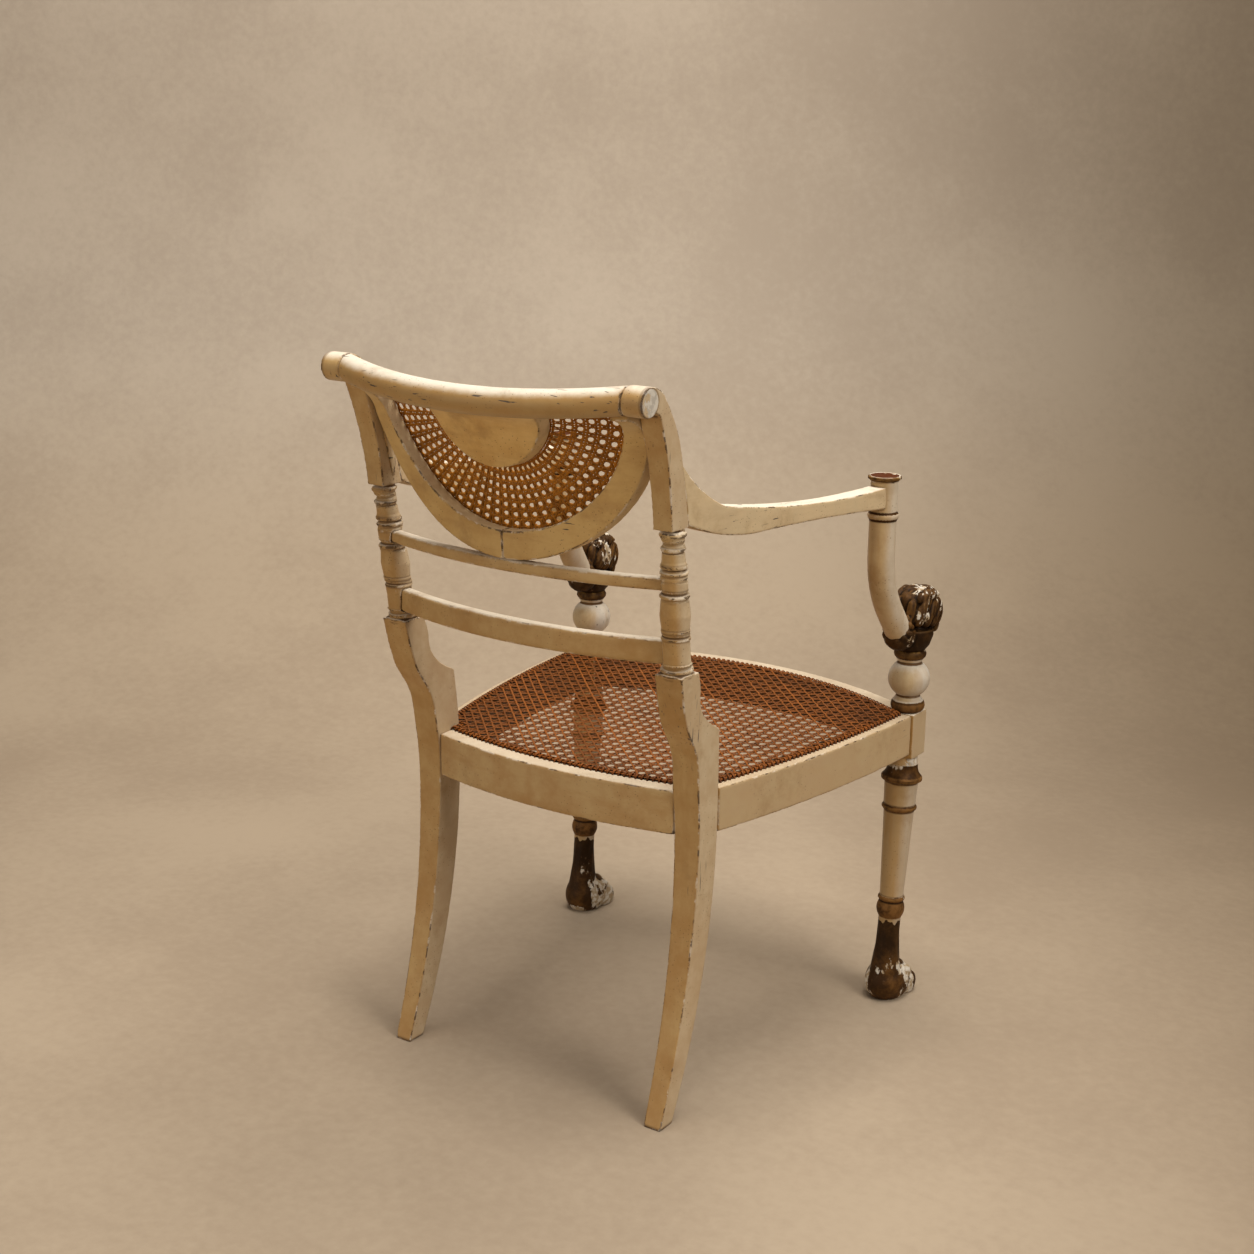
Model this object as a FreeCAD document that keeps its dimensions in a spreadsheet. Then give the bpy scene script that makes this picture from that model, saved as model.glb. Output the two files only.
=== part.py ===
import FreeCAD, Part
import math
import os
import Sketcher

# A painted cane armchair: sabre legged rear posts, a bowed crest, a half-round caned splat,
# turned front legs on paws, lion headed arm supports and a cane seat.
# Millimetres. The chair faces -Y, +X is the sitter's left, the floor is z = 0.
# Pieces are drawn with y = 0 at the back of the seat, then moved so that the middle is y = 0.

Vector = FreeCAD.Vector

# How many rays and rings of gaps the net of the back has.
BACK_CANE_RAYS = 26
BACK_CANE_RINGS = 5

SIZES = {
    # seat frame
    "seat_height": 405,
    "rail_height": 55,
    "seat_depth": 441.5,
    "leg_half_span": 256.5,
    "post_half_gap": 176.5,
    "rear_rail_width": 40,
    "rear_rail_bow": 22.5,
    "side_rail_width": 32,
    "side_rail_bow": 11,
    "front_rail_width": 35,
    "front_rail_bow": 58,
    "rail_reveal": 2.5,
    "tenon_length": 12,
    "tenon_thickness": 10,
    "tenon_height": 27,
    "tenon_rise": 8,
    "fit": 0.15,
    # rear posts, lower stretch
    "post_width": 36.6,
    "post_depth": 40.6,
    "foot_width": 24,
    "foot_depth": 27,
    "foot_half_span": 193.8,
    "foot_kick": 63.8,
    "shoulder_rise": 76,
    "shoulder_lean": 6.7,
    "sweep_rise": 80,
    "sweep_back": 27,
    "turning_rise": 157,
    "turning_base_back": 37,
    "square_depth": 37,
    "sweep_bulge": 2,
    "scoop_bulge": 7.5,
    # rear posts, turned stretch
    "turning_length": 171,
    "turning_lean": 24,
    "turn_radius": 15.2,
    "bead_radius": 17,
    "bead_height": 8,
    "base_ring_height": 9,
    "base_ring_radius": 18.6,
    "plain_radius": 13.6,
    "neck_radius": 12.6,
    "cove_depth": 1.2,
    "belly_bulge": 2.6,
    "ring_height": 5.5,
    "top_cove_height": 8,
    "top_flare": 1.5,
    # rear posts, rolled-over top
    "upper_depth": 34,
    "upper_width": 25,
    "upper_top_width": 28,
    "upper_inset": 3.5,
    "roll_radius": 16.5,
    "roll_rise": 475.5,
    "roll_back": 131.5,
    "throat_gap": 4,
    "crown_run": 9.5,
    "crown_rise": 7,
    "neck_run": 61.5,
    "neck_drop": 48,
    "upper_back_bulge": 5.5,
    "upper_front_bulge": 1.6,
    "neck_bulge": 2.4,
    "crown_bulge": 2.8,
    # back
    "crest_half_gap": 195,
    "crest_radius": 16,
    "crest_bow": 39,
    "crest_tilt": 18,
    "crest_tenon_radius": 7,
    "crest_tenon_length": 16,
    "cross_rail_bow": 35,
    "cross_rail_depth": 16,
    "upper_rail_rise": 256,
    "upper_rail_height": 15,
    "lower_rail_rise": 168,
    "lower_rail_height": 29,
    "rail_edge_round": 4,
    "cross_rail_stop": 4,
    "splat_bow_radius": 507,
    "splat_thickness": 20,
    "splat_bend_run": 41.6,
    "splat_bend_drop": 37.5,
    "splat_bend_angle": 25,
    "splat_lower_bulge": 6.6,
    "splat_upper_bulge": 6.2,
    "splat_end_back": 4.8,
    "splat_end_drop": 10.6,
    "splat_end_front": 9.5,
    "splat_end_rise": 8.8,
    "rim_width": 34,
    "rim_outer": 200,
    "rim_inner": 176,
    "rim_post_gap": 0.4,
    "tablet_radius": 78,
    "tablet_drop": 6,
    "splat_dowel_radius": 4,
    "splat_dowel_length": 40,
    # cane
    "cane_thickness": 2.2,
    "cane_rest": 0.2,
    "cane_lap": 11,
    "cane_rear_inset": 27,
    "cane_side_inset": 17,
    "cane_front_inset": 28,
    "cane_post_gap": 2,
    "cane_corner_gap": 5,
    "cane_border": 7,
    "seat_cane_pitch": 26,
    "seat_cane_gap": 16,
    "back_cane_gap": 9.5,
    "back_cane_inner_gap": 3.6,
    # front legs
    "block_width": 38,
    "block_depth": 39,
    "block_height": 61,
    "leg_setback": 20,
    "leg_shaft_behind": 4,
    "leg_toe_in": 3,
    "leg_neck_radius": 20.3,
    "leg_top_radius": 18,
    "leg_barrel_radius": 22.4,
    "leg_barrel_low_radius": 21.2,
    "leg_collar_radius": 27.3,
    "leg_collar_rim": 5,
    "leg_collar_rise": 17,
    "leg_collar_hollow": 2.4,
    "leg_collar_drop": 12,
    "leg_ring_radius": 24.1,
    "leg_ring_height": 7,
    "leg_ring_drop": 72,
    "leg_shaft_radius": 15.9,
    "ankle_ring_radius": 18.9,
    "ankle_ring_height": 24,
    "ankle_ring_rise": 116,
    "ankle_rim_radius": 18.2,
    "ankle_rim_height": 6,
    "ankle_radius": 15,
    "ankle_foot_radius": 24,
    "ankle_foot_rise": 24,
    "ankle_hollow": 3,
    "paw_half_width": 29,
    "paw_half_length": 36,
    "paw_height": 52,
    "paw_forward": 11.5,
    "toe_half_width": 8,
    "toe_half_length": 17,
    "toe_height": 30,
    "toe_spacing": 14,
    "toe_step": 6,
    # arm supports
    "baluster_ring_radius": 22.5,
    "baluster_ring_height": 16,
    "baluster_shoulder_radius": 18.5,
    "baluster_neck_radius": 15,
    "baluster_neck_height": 6.5,
    "ball_radius": 27.5,
    "ball_height": 44,
    "collar_radius": 21.3,
    "collar_height": 11,
    "pin_radius": 7,
    "pin_length": 16,
    "cup_radius": 28.5,
    "cup_height": 30,
    "cup_bulge": 3.5,
    "head_half_width": 27,
    "head_half_length": 31,
    "head_half_height": 28.5,
    "head_forward": 12,
    "head_lift": 55,
    "muzzle_half_width": 15,
    "muzzle_half_length": 16,
    "muzzle_half_height": 14,
    "muzzle_drop": 11,
    "ear_radius": 7,
    "ear_rise": 19,
    "ear_spread": 19,
    "lock_radius": 10.5,
    "lock_spread": 18,
    "column_radius": 17.3,
    "column_behind": 81,
    "column_foot_lift": 16,
    "column_foot_behind": 21.6,
    "column_bend_radius": 135,
    "column_bend_angle": 36,
    "column_ring_radius": 20,
    "column_ring_height": 10,
    "column_ring_drop": 10,
    "cap_radius": 21,
    "cap_foot_radius": 18.5,
    "cap_foot_height": 1.6,
    "cap_edge_height": 3.2,
    "cap_crown_height": 1,
    "cap_crown_radius": 19.4,
    "cap_lift": 6,
    "cap_tenon_radius": 6,
    "cap_tenon_length": 8,
    # arms
    "arm_width": 25,
    "arm_post_half_span": 204.5,
    "arm_rise": 285.5,
    "arm_height": 29,
    "arm_end_lift": 2,
    "arm_end_height": 81,
    "arm_under_run": 125,
    "arm_under_drop": 29,
    "arm_under_bulge": 5.8,
    "arm_under_rise": 3,
    "arm_sweep_run": 88,
    "arm_sweep_drop": 69,
    "arm_sweep_bulge": 7.6,
    "arm_top_bulge": 9.5,
    "arm_tenon_radius": 5,
    "arm_tenon_length": 9,
}


class Size:
    """A length or angle together with the expression that ties it to the sheet."""

    def __init__(self, value, text):
        self.value = float(value)
        self.text = text

    def __add__(self, other):
        other = as_size(other)
        return Size(self.value + other.value, f"({self.text} + {other.text})")

    def __sub__(self, other):
        other = as_size(other)
        return Size(self.value - other.value, f"({self.text} - {other.text})")

    def __mul__(self, other):
        other = as_size(other)
        return Size(self.value * other.value, f"({self.text} * {other.text})")

    def __truediv__(self, other):
        other = as_size(other)
        return Size(self.value / other.value, f"({self.text} / {other.text})")

    def __radd__(self, other):
        return as_size(other) + self

    def __rsub__(self, other):
        return as_size(other) - self

    def __rmul__(self, other):
        return as_size(other) * self

    def __neg__(self):
        return Size(-self.value, f"(-1 * {self.text})")


def as_size(number):
    """The number itself if it is a Size, or a Size that holds it."""
    if isinstance(number, Size):
        return number
    return Size(number, f"({float(number)!r})")


def cosine(angle):
    return Size(math.cos(math.radians(angle.value)), f"cos({angle.text})")


def sine(angle):
    return Size(math.sin(math.radians(angle.value)), f"sin({angle.text})")


def root(size):
    return Size(math.sqrt(size.value), f"sqrt({size.text})")


def slope_angle(rise, run):
    """The angle in degrees whose tangent is rise over run."""
    ratio = rise / run
    return Size(math.degrees(math.atan(ratio.value)), f"atan({ratio.text})")


doc = FreeCAD.newDocument("Armchair")
sheet = doc.addObject("Spreadsheet::Sheet", "Dims")
for row, (alias, amount) in enumerate(SIZES.items(), start=1):
    sheet.set(f"A{row}", alias)
    sheet.set(f"B{row}", str(amount))
    sheet.setAlias(f"B{row}", alias)
doc.recompute()


class Sheet:
    """Reads the sheet: size.seat_height is that cell's value with its expression."""

    def __getattr__(self, alias):
        return Size(sheet.get(alias), f"Dims.{alias}")


size = Sheet()


class Arc:
    """Bends the side that leaves a corner, by its bulge or its radius, to the left or the right."""

    def __init__(self, turn, bulge=None, radius=None):
        self.turn = turn
        self.bulge = bulge
        self.radius = radius

    def radius_between(self, start, end):
        if self.radius is not None:
            return self.radius
        across = end[0] - start[0]
        along = end[1] - start[1]
        chord_squared = across * across + along * along
        return (chord_squared / 4 + self.bulge * self.bulge) / (2 * self.bulge)


def bind(item, **amounts):
    """Ties properties of an object to sizes."""
    for name, amount in amounts.items():
        item.setExpression(name, as_size(amount).text)


def place(item, x=0, y=0, z=0, axis=None, angle=None):
    """Ties an object's place, and its turn about a fixed axis, to sizes."""
    if axis is not None:
        item.Placement = FreeCAD.Placement(Vector(), FreeCAD.Rotation(Vector(*axis), angle.value))
        item.setExpression("Placement.Rotation.Angle", angle.text)
    for name, amount in (("x", x), ("y", y), ("z", z)):
        if amount != 0:
            item.setExpression(f"Placement.Base.{name}", as_size(amount).text)
    return item


def lean(item, x, y, z, run_x, run_y, rise):
    """Places an object with its Z axis leaning by run_x and run_y over a rise."""
    place(item, x, y, z)
    tilt = slope_angle(root(run_x * run_x + run_y * run_y), rise)
    item.setExpression("Placement.Rotation.Axis.x", (-run_y).text)
    item.setExpression("Placement.Rotation.Axis.y", run_x.text)
    item.setExpression("Placement.Rotation.Axis.z", "0")
    item.setExpression("Placement.Rotation.Angle", tilt.text)
    return item


def new_body(name):
    return doc.addObject("PartDesign::Body", name)


def sketch_on(body, role, name):
    """A sketch on one of the body's own origin planes."""
    sketch = body.newObject("Sketcher::SketchObject", name)
    plane = next(item for item in body.Origin.OriginFeatures if item.Role == role)
    sketch.AttachmentSupport = (plane, [""])
    sketch.MapMode = "FlatFace"
    return sketch


def arc_edge(start, end, radius, turn):
    """A circular arc under a half circle from start to end that turns left or right."""
    middle = (start + end) / 2
    chord = end - start
    reach = math.sqrt(max(radius * radius - chord.Length ** 2 / 4, 0))
    inward = Vector(-chord.y, chord.x, 0).normalize() * (reach if turn == "left" else -reach)
    centre = middle + inward
    first, last = (start, end) if turn == "left" else (end, start)
    angles = [math.atan2(point.y - centre.y, point.x - centre.x) for point in (first, last)]
    return Part.ArcOfCircle(Part.Circle(centre, Vector(0, 0, 1), radius), *angles)


def draw(sketch, corners):
    """A closed outline through the corners, each fixed by its distances from the origin."""
    corners = [(as_size(corner[0]), as_size(corner[1]), *corner[2:]) for corner in corners]
    base = sketch.GeometryCount
    edges = []
    rules = []
    amounts = []
    starts = []
    ends = []
    for index, corner in enumerate(corners):
        following = corners[(index + 1) % len(corners)]
        start = Vector(corner[0].value, corner[1].value, 0)
        end = Vector(following[0].value, following[1].value, 0)
        bend = corner[2] if len(corner) > 2 else None
        number = base + index
        if bend is None:
            edges.append(Part.LineSegment(start, end))
        else:
            radius = bend.radius_between(corner, following)
            edges.append(arc_edge(start, end, radius.value, bend.turn))
            rules.append(Sketcher.Constraint("Radius", number, radius.value))
            amounts.append(radius)
        forward = bend is None or bend.turn == "left"
        starts.append((number, 1 if forward else 2))
        ends.append((number, 2 if forward else 1))
    for index, corner in enumerate(corners):
        for kind, amount in (("DistanceX", corner[0]), ("DistanceY", corner[1])):
            rules.append(Sketcher.Constraint(kind, -1, 1, *starts[index], amount.value))
            amounts.append(amount)
    for index, end in enumerate(ends):
        rules.append(Sketcher.Constraint("Coincident", *end, *starts[(index + 1) % len(starts)]))
    sketch.addGeometry(edges)
    first_rule = sketch.ConstraintCount
    sketch.addConstraint(rules)
    for index, amount in enumerate(amounts):
        sketch.setExpression(f"Constraints[{first_rule + index}]", amount.text)


def padded(name, role, corners, length, middle=False):
    """A body made by padding one outline, to one side or evenly to both."""
    body = new_body(name)
    sketch = sketch_on(body, role, name + "_outline")
    draw(sketch, corners)
    pad = body.newObject("PartDesign::Pad", name + "_pad")
    pad.Profile = sketch
    pad.SideType = "Symmetric" if middle else "One side"
    bind(pad, Length=length)
    return body


def turned(name, start_height, start_radius, stations):
    """A body turned about Z. A station is a rise, the radius it ends at and perhaps a bulge."""
    height = as_size(start_height)
    corners = [(0, height), (start_radius, height)]
    radius = as_size(start_radius)
    for rise, end_radius, *bulge in stations:
        if bulge:
            outward = bulge[0].value > 0
            bend = Arc("left" if outward else "right", bulge=bulge[0] if outward else -bulge[0])
            corners[-1] = (radius, height, bend)
        height = height + rise
        radius = as_size(end_radius)
        corners.append((radius, height))
    corners.append((0, height))
    body = new_body(name)
    sketch = sketch_on(body, "XZ_Plane", name + "_profile")
    draw(sketch, corners)
    turning = body.newObject("PartDesign::Revolution", name + "_turning")
    turning.Profile = sketch
    turning.ReferenceAxis = (sketch, ["V_Axis"])
    turning.Angle = 360
    return body


def box(name, x, y, z, length, width, height):
    """A block from its low corner."""
    item = doc.addObject("Part::Box", name)
    bind(item, Length=length, Width=width, Height=height)
    return place(item, x, y, z)


def peg(name, x, y, z, radius, length, axis=None, angle=90):
    """A round bar that starts at a point and runs along Z, or along Z turned about an axis."""
    item = doc.addObject("Part::Cylinder", name)
    bind(item, Radius=radius, Height=length)
    return place(item, x, y, z, axis, as_size(angle))


ALONG_X = (0, 1, 0)
ALONG_MINUS_Y = (1, 0, 0)
ABOUT_Z = (0, 0, 1)


def egg(name, x, y, z, half_x, half_y, half_z):
    """An ellipsoid by its centre and its three half sizes."""
    item = doc.addObject("Part::Ellipsoid", name)
    item.Angle1 = -90
    item.Angle2 = 90
    bind(item, Radius1=half_z, Radius2=half_x, Radius3=half_y)
    return place(item, x, y, z)


def join(name, items):
    result = doc.addObject("Part::MultiFuse", name)
    result.Shapes = items
    return result


def cut(name, base, tools):
    """The base with every tool taken away."""
    result = doc.addObject("Part::Cut", name)
    result.Base = base
    result.Tool = tools[0] if len(tools) == 1 else join(name + "_tools", tools)
    return result


def shared(name, base, tool):
    result = doc.addObject("Part::Common", name)
    result.Base = base
    result.Tool = tool
    return result


# Heights and places that several pieces share.
rail_bottom = size.seat_height - size.rail_height
turning_base = size.seat_height + size.turning_rise
turning_top = turning_base + size.turning_length
turning_top_back = size.turning_base_back + size.turning_lean
roll_height = size.seat_height + size.roll_rise
post_lean = (size.crest_half_gap - size.post_half_gap) / size.roll_rise
crest_back = size.roll_back + size.crest_bow * cosine(size.crest_tilt)
crest_height = roll_height - size.crest_bow * sine(size.crest_tilt)
block_inner = size.leg_half_span - size.block_width / 2
block_rear = size.seat_depth - size.block_depth / 2
side_outer_rear = size.post_half_gap + size.post_width
side_outer_front = size.leg_half_span + size.block_width / 2 - size.rail_reveal
front_end = size.seat_depth + size.block_depth / 2 - size.rail_reveal
chair_middle = (crest_back + size.crest_radius - front_end - size.front_rail_bow) / 2

nodes = []


def finish(item, label, y=0):
    """Names a finished piece and moves it so that the chair's middle is at y = 0."""
    item.Label = label
    place(item, y=y - chair_middle)
    nodes.append(item)


def finish_pair(item, name):
    """Finishes the left piece and mirrors it to the right."""
    finish(item, name + "_left")
    mirrored = doc.addObject("Part::Mirroring", name + "_mirrored")
    mirrored.Source = item
    mirrored.Normal = Vector(1, 0, 0)
    mirrored.Label = name + "_right"
    nodes.append(mirrored)


def post_inner(height):
    """Half the distance between the posts at a height above the seat."""
    return size.post_half_gap + post_lean * (height - size.seat_height)


def turning_axis(height):
    """Where the axis of the post's turned stretch stands at a height: x and y."""
    along = (height - turning_base) / size.turning_length
    return post_inner(height) + size.post_width / 2, size.turning_base_back + size.turning_lean * along


def upright_radius(depth, height):
    """Radius of an arc that leaves the vertical and moves by depth over a height."""
    return (depth * depth + height * height) / (2 * depth)


def seat_tenon(name, x, y, along_x, fit=0):
    """Tenon of a seat rail, or with a fit its mortise, centred on the joint's face."""
    length = size.tenon_length + fit
    thickness = size.tenon_thickness + 2 * as_size(fit)
    low = rail_bottom + size.tenon_rise - fit
    height = size.tenon_height + 2 * as_size(fit)
    if along_x:
        return box(name, x, y - thickness / 2, low, length, thickness, height)
    return box(name, x - thickness / 2, y, low, thickness, length, height)


# Tenons of the seat frame: where each one starts and which way it runs.
REAR_TENON = (size.post_half_gap, -(size.rear_rail_width / 2), True)
SIDE_REAR_TENON = (side_outer_rear - size.side_rail_width / 2, -size.post_depth, False)
SIDE_FRONT_TENON = (side_outer_front - size.side_rail_width / 2, -block_rear - size.tenon_length, False)
FRONT_TENON = (block_inner, -(front_end - size.front_rail_width / 2), True)


def mortise(name, tenon):
    """The hole for a tenon, deeper and wider than it by the fit."""
    x, y, along_x = tenon
    if along_x or tenon is SIDE_REAR_TENON:
        return seat_tenon(name, x, y, along_x, size.fit)
    return seat_tenon(name, x, y - size.fit, along_x, size.fit)


def rear_post():
    """Sabre leg, scooped shoulder, turned stretch and rolled-over top, with its mortises."""
    foot_front = size.foot_kick - size.foot_depth
    shoulder_front = size.shoulder_lean - size.post_depth
    shoulder_height = size.seat_height + size.shoulder_rise
    sweep_height = size.seat_height + size.sweep_rise
    square_back = size.turning_base_back + size.square_depth / 2
    square_front = size.turning_base_back - size.square_depth / 2
    kick_back = upright_radius(size.foot_kick, rail_bottom)
    kick_front = upright_radius(foot_front + size.post_depth, rail_bottom)
    sweep = upright_radius(size.sweep_back, sweep_height - rail_bottom)
    shoulder = upright_radius(size.shoulder_lean, shoulder_height - rail_bottom)
    lower_side = [
        (foot_front, 0),
        (size.foot_kick, 0, Arc("right", radius=kick_back)),
        (0, rail_bottom, Arc("right", radius=sweep)),
        (size.sweep_back, sweep_height, Arc("left", bulge=size.sweep_bulge)),
        (square_back, turning_base),
        (square_front, turning_base, Arc("right", bulge=size.scoop_bulge)),
        (shoulder_front, shoulder_height, Arc("left", radius=shoulder)),
        (-size.post_depth, rail_bottom, Arc("left", radius=kick_front)),
    ]
    roll_corner = size.roll_radius * math.sqrt(0.5)
    quarter = Arc("left", radius=size.roll_radius)
    upper_side = [
        (turning_top_back - size.upper_depth / 2, turning_top),
        (turning_top_back + size.upper_depth / 2, turning_top, Arc("right", bulge=size.upper_back_bulge)),
        (size.roll_back - size.roll_radius - size.throat_gap, roll_height - size.roll_radius),
        (size.roll_back - roll_corner, roll_height - roll_corner, quarter),
        (size.roll_back, roll_height - size.roll_radius, quarter),
        (size.roll_back + size.roll_radius, roll_height, quarter),
        (size.roll_back, roll_height + size.roll_radius, Arc("left", bulge=size.crown_bulge)),
        (size.roll_back - size.roll_radius - size.crown_run, roll_height + size.crown_rise,
         Arc("left", bulge=size.neck_bulge)),
        (size.roll_back - size.neck_run, roll_height - size.neck_drop,
         Arc("left", bulge=size.upper_front_bulge)),
    ]
    top = roll_height + 2 * size.roll_radius
    outer_seat = size.post_half_gap + size.post_width
    front_view = [
        (size.foot_half_span - size.foot_width / 2, 0),
        (size.foot_half_span + size.foot_width / 2, 0),
        (outer_seat, size.seat_height),
        (post_inner(top) + size.post_width, top),
        (post_inner(top), top),
        (size.post_half_gap, size.seat_height),
    ]
    joint = roll_height - 2 * size.roll_radius
    upper_inner = post_inner(turning_top) + size.upper_inset
    upper_view = [
        (upper_inner, turning_top),
        (upper_inner + size.upper_width, turning_top),
        (post_inner(top) + size.upper_top_width, top),
        (post_inner(top), top),
        (post_inner(joint), joint),
    ]
    reach = 2 * (post_inner(top) + size.post_width)
    lower = padded("post_lower", "YZ_Plane", lower_side, reach, middle=True)
    upper = padded("post_upper", "YZ_Plane", upper_side, reach, middle=True)
    depth = 4 * (size.roll_back + size.roll_radius)
    taper = padded("post_taper", "XZ_Plane", front_view, depth, middle=True)
    lower_square = shared("post_lower_square", lower, taper)
    upper_taper = padded("post_upper_taper", "XZ_Plane", upper_view, depth, middle=True)
    upper_square = shared("post_upper_square", upper, upper_taper)
    stretch = post_turning()
    whole = join("post_whole", [lower_square, stretch, upper_square])
    tools = [
        mortise("post_rear_mortise", REAR_TENON),
        mortise("post_side_mortise", SIDE_REAR_TENON),
        cross_rail("post_upper_mortise", upper_rail_middle, size.upper_rail_height, size.fit),
        cross_rail("post_lower_mortise", lower_rail_middle, size.lower_rail_height, size.fit),
        crest_tenon("post_crest_mortise", size.fit),
        arm_rear_tenon("post_arm_mortise", size.fit),
    ]
    return cut("post", whole, tools), upper_square


upper_rail_middle = size.seat_height + size.upper_rail_rise + size.upper_rail_height / 2
lower_rail_middle = size.seat_height + size.lower_rail_rise + size.lower_rail_height / 2


def post_turning():
    """The turned stretch: base ring, plain seats for the two cross rails, belly, beads and neck."""
    lower_top = lower_rail_middle + size.lower_rail_height / 2 - turning_base
    upper_low = upper_rail_middle - size.upper_rail_height / 2 - turning_base
    upper_top = upper_low + size.upper_rail_height
    bead = size.bead_radius - size.turn_radius
    plain_bead = size.bead_radius - size.plain_radius
    neck_bead = size.bead_radius - size.neck_radius - size.cove_depth
    belly = upper_low - 2 * size.bead_height - lower_top
    body_height = (size.turning_length - upper_top - 3 * size.ring_height - size.bead_height
                   - size.top_cove_height - size.top_flare)
    stations = [
        (size.base_ring_height, size.turn_radius, size.base_ring_radius - size.turn_radius),
        (lower_top - size.base_ring_height, size.turn_radius),
        (size.bead_height, size.plain_radius, bead),
        (belly, size.plain_radius, size.belly_bulge),
        (size.bead_height, size.plain_radius, plain_bead),
        (upper_top - upper_low, size.plain_radius),
        (size.ring_height, size.plain_radius, plain_bead),
        (size.ring_height, size.neck_radius, plain_bead),
        (body_height, size.neck_radius, -size.cove_depth),
        (size.bead_height, size.neck_radius, neck_bead),
        (size.top_cove_height, size.neck_radius, -size.cove_depth),
        (size.ring_height, size.neck_radius, neck_bead / 2),
        (size.top_flare, size.upper_width / 2),
    ]
    body = turned("post_stretch", 0, size.square_depth / 2, stations)
    x, y = turning_axis(turning_base)
    return lean(body, x, y, turning_base, post_lean * size.turning_length, size.turning_lean,
                size.turning_length)


def crest_tenon(name, fit=0):
    """Round tenon of the crest in the roll of the left post, or with a fit its hole."""
    start = size.crest_half_gap - size.crest_tenon_length
    length = 2 * size.crest_tenon_length + fit
    return peg(name, start, size.roll_back, roll_height, size.crest_tenon_radius + fit, length, ALONG_X)


def cross_rail(name, middle, height, fit=0):
    """A bowed rail whose ends are let into the turned stretches, or with a fit their mortises."""
    axis_x, end_y = turning_axis(middle)
    end_x = axis_x - size.cross_rail_stop + fit
    half = size.cross_rail_depth / 2 + fit
    bow = size.cross_rail_bow
    plan = [
        (-end_x, end_y - half, Arc("right", bulge=bow)),
        (end_x, end_y - half),
        (end_x, end_y + half, Arc("left", bulge=bow)),
        (-end_x, end_y + half),
    ]
    body = padded(name + "_blank", "XY_Plane", plan, height + 2 * as_size(fit))
    doc.recompute()
    pad = body.Tip
    rear = (end_y + half).value + bow.value / 2
    rear_edges = [
        f"Edge{number}" for number, edge in enumerate(pad.Shape.Edges, start=1)
        if edge.Length > end_x.value and edge.BoundBox.YMax > rear
    ]
    rounded = body.newObject("PartDesign::Fillet", name + "_round")
    rounded.Base = (pad, rear_edges)
    bind(rounded, Radius=size.rail_edge_round)
    return place(body, z=middle - height / 2 - fit)


def crest_tube(name, radius):
    """The bowed round crest, long enough to run into both posts."""
    half = size.crest_half_gap
    bow_radius = upright_radius(size.crest_bow, half)
    body = new_body(name)
    sketch = sketch_on(body, "YZ_Plane", name + "_section")
    sketch.addGeometry(Part.Circle(Vector(bow_radius.value, 0, 0), Vector(0, 0, 1), radius.value))
    sketch.addConstraint([
        Sketcher.Constraint("DistanceX", -1, 1, 0, 3, bow_radius.value),
        Sketcher.Constraint("PointOnObject", 0, 3, -1),
        Sketcher.Constraint("Radius", 0, radius.value),
    ])
    sketch.setExpression("Constraints[0]", bow_radius.text)
    sketch.setExpression("Constraints[2]", radius.text)
    bend = body.newObject("PartDesign::Revolution", name + "_bend")
    bend.Profile = sketch
    bend.ReferenceAxis = (sketch, ["V_Axis"])
    bend.Midplane = True
    bind(bend, Angle=2.5 * slope_angle(half, bow_radius - size.crest_bow))
    hub = bow_radius - size.crest_bow
    return place(body, 0, size.roll_back - hub * cosine(size.crest_tilt),
                 roll_height + hub * sine(size.crest_tilt), (1, 0, 0), -size.crest_tilt)


def between_posts(name, low, high, grow=0):
    """The tapering space between the inner faces of the posts."""
    outline = [
        (-post_inner(low) - grow, low),
        (post_inner(low) + grow, low),
        (post_inner(high) + grow, high),
        (-post_inner(high) - grow, high),
    ]
    return padded(name, "XZ_Plane", outline, 4 * (size.roll_back + size.crest_bow), middle=True)


def splat_band(name, grow_back, front_from, front_to, grow_end):
    """The bowed and rolled-over sheet that the splat is cut from, between two offsets of its back."""
    direction = size.splat_bend_angle
    rear_bottom = turning_axis(upper_rail_middle)[1] + size.cross_rail_depth / 2 + size.cross_rail_bow
    low = upper_rail_middle + size.upper_rail_height / 2 - size.rim_width / 4
    bend_y = crest_back - size.splat_bend_run
    bend_z = crest_height - size.splat_bend_drop
    hub = rear_bottom - size.splat_bow_radius

    def offset(amount):
        """Bottom, bend and end of the sheet at an offset to the front of its back."""
        share = amount / size.splat_thickness
        end_y = crest_back - size.splat_end_back + (size.splat_end_back - size.splat_end_front) * share
        end_z = crest_height - size.splat_end_drop + (size.splat_end_drop + size.splat_end_rise) * share
        return [
            (rear_bottom - amount - hub, low),
            (bend_y - amount * cosine(direction) - hub, bend_z + amount * sine(direction)),
            (end_y + grow_end - hub, end_z),
        ]

    back = offset(front_from - grow_back)
    front = offset(front_to + grow_back)
    lower_arc = size.splat_lower_bulge
    upper_arc = size.splat_upper_bulge
    profile = [
        (*back[0], Arc("right", bulge=lower_arc)),
        (*back[1], Arc("right", bulge=upper_arc)),
        back[2],
        (*front[2], Arc("left", bulge=upper_arc)),
        (*front[1], Arc("left", bulge=lower_arc)),
        front[0],
    ]
    body = new_body(name)
    sketch = sketch_on(body, "YZ_Plane", name + "_profile")
    draw(sketch, profile)
    bend = body.newObject("PartDesign::Revolution", name + "_bend")
    bend.Profile = sketch
    bend.ReferenceAxis = (sketch, ["V_Axis"])
    bend.Midplane = True
    bind(bend, Angle=3 * slope_angle(size.crest_half_gap, size.splat_bow_radius))
    return place(body, y=hub)


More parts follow.
